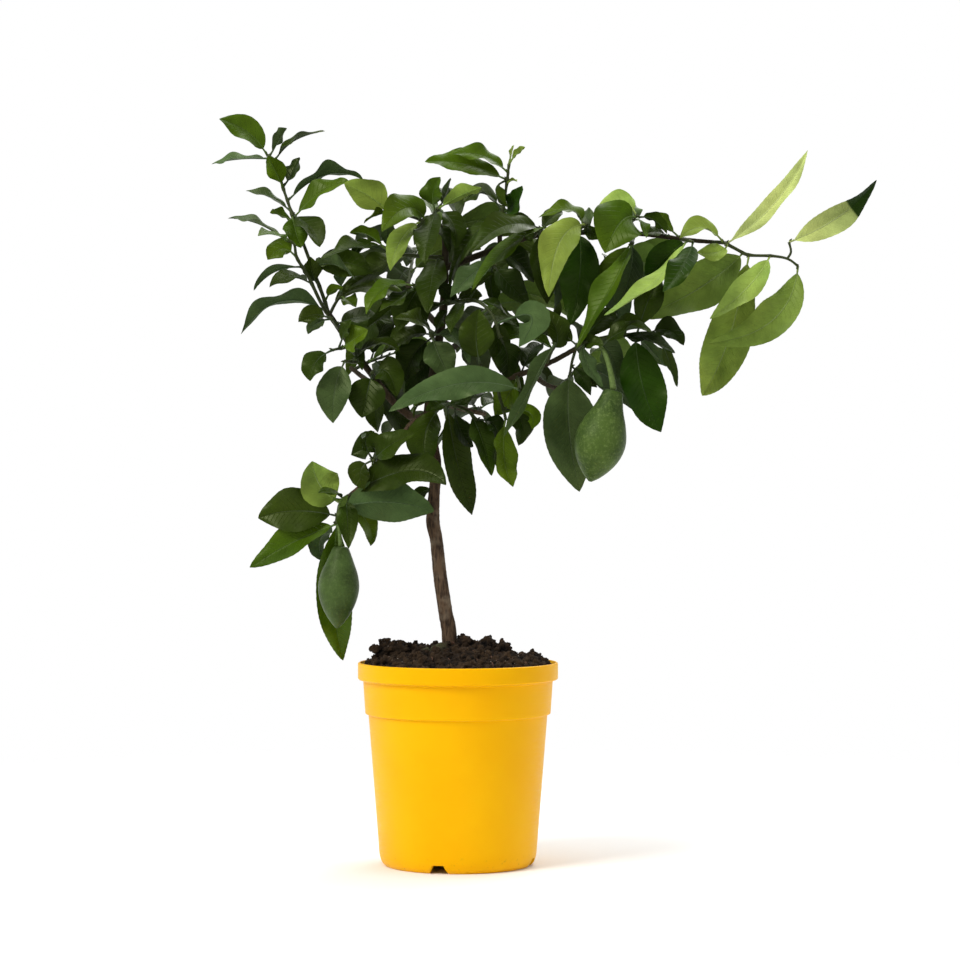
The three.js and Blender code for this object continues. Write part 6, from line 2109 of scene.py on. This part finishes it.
@dataclass
class Studio:
    """A white paper floor that fades into a pale surround, soft light from the upper left, and the camera that
    the elevation was drawn from."""

    floor: str = "#F6F6F4"
    reach: float = 1.3  # radius of the floor, in metres
    solid: float = 0.3  # radius within which it doesn't fade
    lens: float = 104.25
    sensor: float = 36.0
    zenith: float = 0.4  # brightness of the sky overhead
    behind: float = 1.0  # of the surround behind the tree
    before: float = 0.6  # of the surround before it
    lamps: tuple[tuple[str, tuple[float, float, float], float, float], ...] = (  # place, size and power
        ("key", (-1.9, -1.7, 2.3), 1.2, 76.0), ("fill", (2.2, -1.6, 1.3), 1.8, 7.0),
        ("top", (0.0, 0.2, 2.9), 1.6, 34.0), ("back", (0.8, 1.3, 2.0), 1.4, 22.0),
    )

    def paper(self) -> None:
        """Lays the floor."""
        work = bmesh.new()
        bmesh.ops.create_circle(work, cap_ends=True, segments=96, radius=self.reach)
        mesh = bpy.data.meshes.new("studio_floor")
        work.to_mesh(mesh)
        work.free()
        material, tree, shader, place = start_material("matt_white_paper")
        away = add_node(tree, VECTOR, {0: place}, operation="LENGTH")
        shown = add_node(tree, SPAN, {"Value": away, "From Min": self.reach - 0.05, "From Max": self.solid},
                         interpolation_type="SMOOTHSTEP")
        feed(tree, shader, {"Base Color": linear(self.floor), "Roughness": 0.9, "Alpha": shown})
        mesh.materials.append(material)
        new_object("studio_floor", mesh)

    def surround(self) -> None:
        """Lights the surround: white behind the tree, pale grey before it, and dimmer overhead."""
        world = bpy.data.worlds.new("studio_surround")
        world.use_nodes = True
        tree = world.node_tree
        way = add_node(tree, "ShaderNodeSeparateXYZ", {0: add_node(tree, "ShaderNodeTexCoord").outputs["Generated"]})
        round_it = add_node(tree, SPAN, {"Value": way.outputs["Y"], "From Min": -0.3, "From Max": 0.8,
                                         "To Min": self.before, "To Max": self.behind},
                            interpolation_type="SMOOTHSTEP")
        rise = add_node(tree, SPAN, {"Value": way.outputs["Z"], "From Min": 0.22, "From Max": 0.6},
                        interpolation_type="SMOOTHSTEP")
        light = add_node(tree, MIX, {0: rise, 2: round_it, 3: self.zenith}, data_type="FLOAT")
        feed(tree, tree.nodes["Background"], {"Color": (1.0, 1.0, 1.0, 1.0), "Strength": light})
        bpy.context.scene.world = world

    def lamp(self, name: str, place: tuple[float, float, float], size: float, power: float) -> None:
        """Hangs a square soft light at a place, turned to the crown."""
        light = bpy.data.lights.new(name, "AREA")
        light.size = size
        light.energy = power
        lamp = bpy.data.objects.new(name, light)
        lamp.location = place
        lamp.rotation_euler = (Vector(place) - Vector((0, 0, 0.4))).to_track_quat("Z", "Y").to_euler()
        bpy.context.scene.collection.objects.link(lamp)

    def build(self) -> None:
        """Builds floor, lights, surround and camera."""
        self.paper()
        self.surround()
        for name, place, size, power in self.lamps:
            self.lamp(name, place, size, power)
        bpy.context.scene.view_settings.view_transform = "Standard"
        lens = bpy.data.cameras.new("front")
        lens.lens, lens.sensor_width = self.lens, self.sensor
        lens.clip_start, lens.clip_end = 0.1, 20.0
        camera = bpy.data.objects.new("front", lens)
        camera.location = EYE * MM
        camera.rotation_euler = (math.pi / 2, 0, 0)
        bpy.context.scene.collection.objects.link(camera)
        bpy.context.scene.camera = camera


# ------------------------------------------------------------------ the whole tree

def main() -> None:
    """Builds the pot, the soil, the wood, the fruits and every spray, and reports each piece."""
    logging.basicConfig(level=logging.INFO, format="%(message)s")
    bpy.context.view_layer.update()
    Studio().build()
    tree = leafy_tree()
    leaf = {
        "Upper Face": LeafFinish("waxy_leaf_upper_face", "upper", 0.2, 0.09, -0.0003, 0.36, 0.18).build(),
        "Underside": LeafFinish("matt_leaf_underside", "under", 0.25, 0.1, 0.0003, 0.62, 0.08).build(),
        "Stem": GreenWoodFinish().build(),
    }
    peels = {
        # painted shade: the left fruit, hanging in shade under its spray, gets a darker copy of the peel
        "lemon_left": PeelFinish("shaded_green_peel", "#43572A", "#31411D", "#586C3A"),
        "lemon_right": PeelFinish("ripening_green_peel", "#485D26", "#32451C", "#74884A"),
    }
    pieces = [Pot().build(PotFinish().build()), Soil().build(SoilFinish().build())]
    pieces.append(Wood().build(tree, BarkFinish().build()))
    pieces += [fruit.build(peels[fruit.name].build()) for fruit in FRUITS]
    pieces += [spray.build(tree, leaf) for spray in grow_sprays()]
    total = 0
    for piece in pieces:
        triangles = sum(len(face.vertices) - 2 for face in piece.data.polygons)
        total += triangles
        log.info("%s: %d triangles, stands for %s", piece.name, triangles, list(piece.get("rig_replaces", [])))
    log.info("%d pieces, %d triangles", len(pieces), total)


if __name__ == "__main__":
    main()
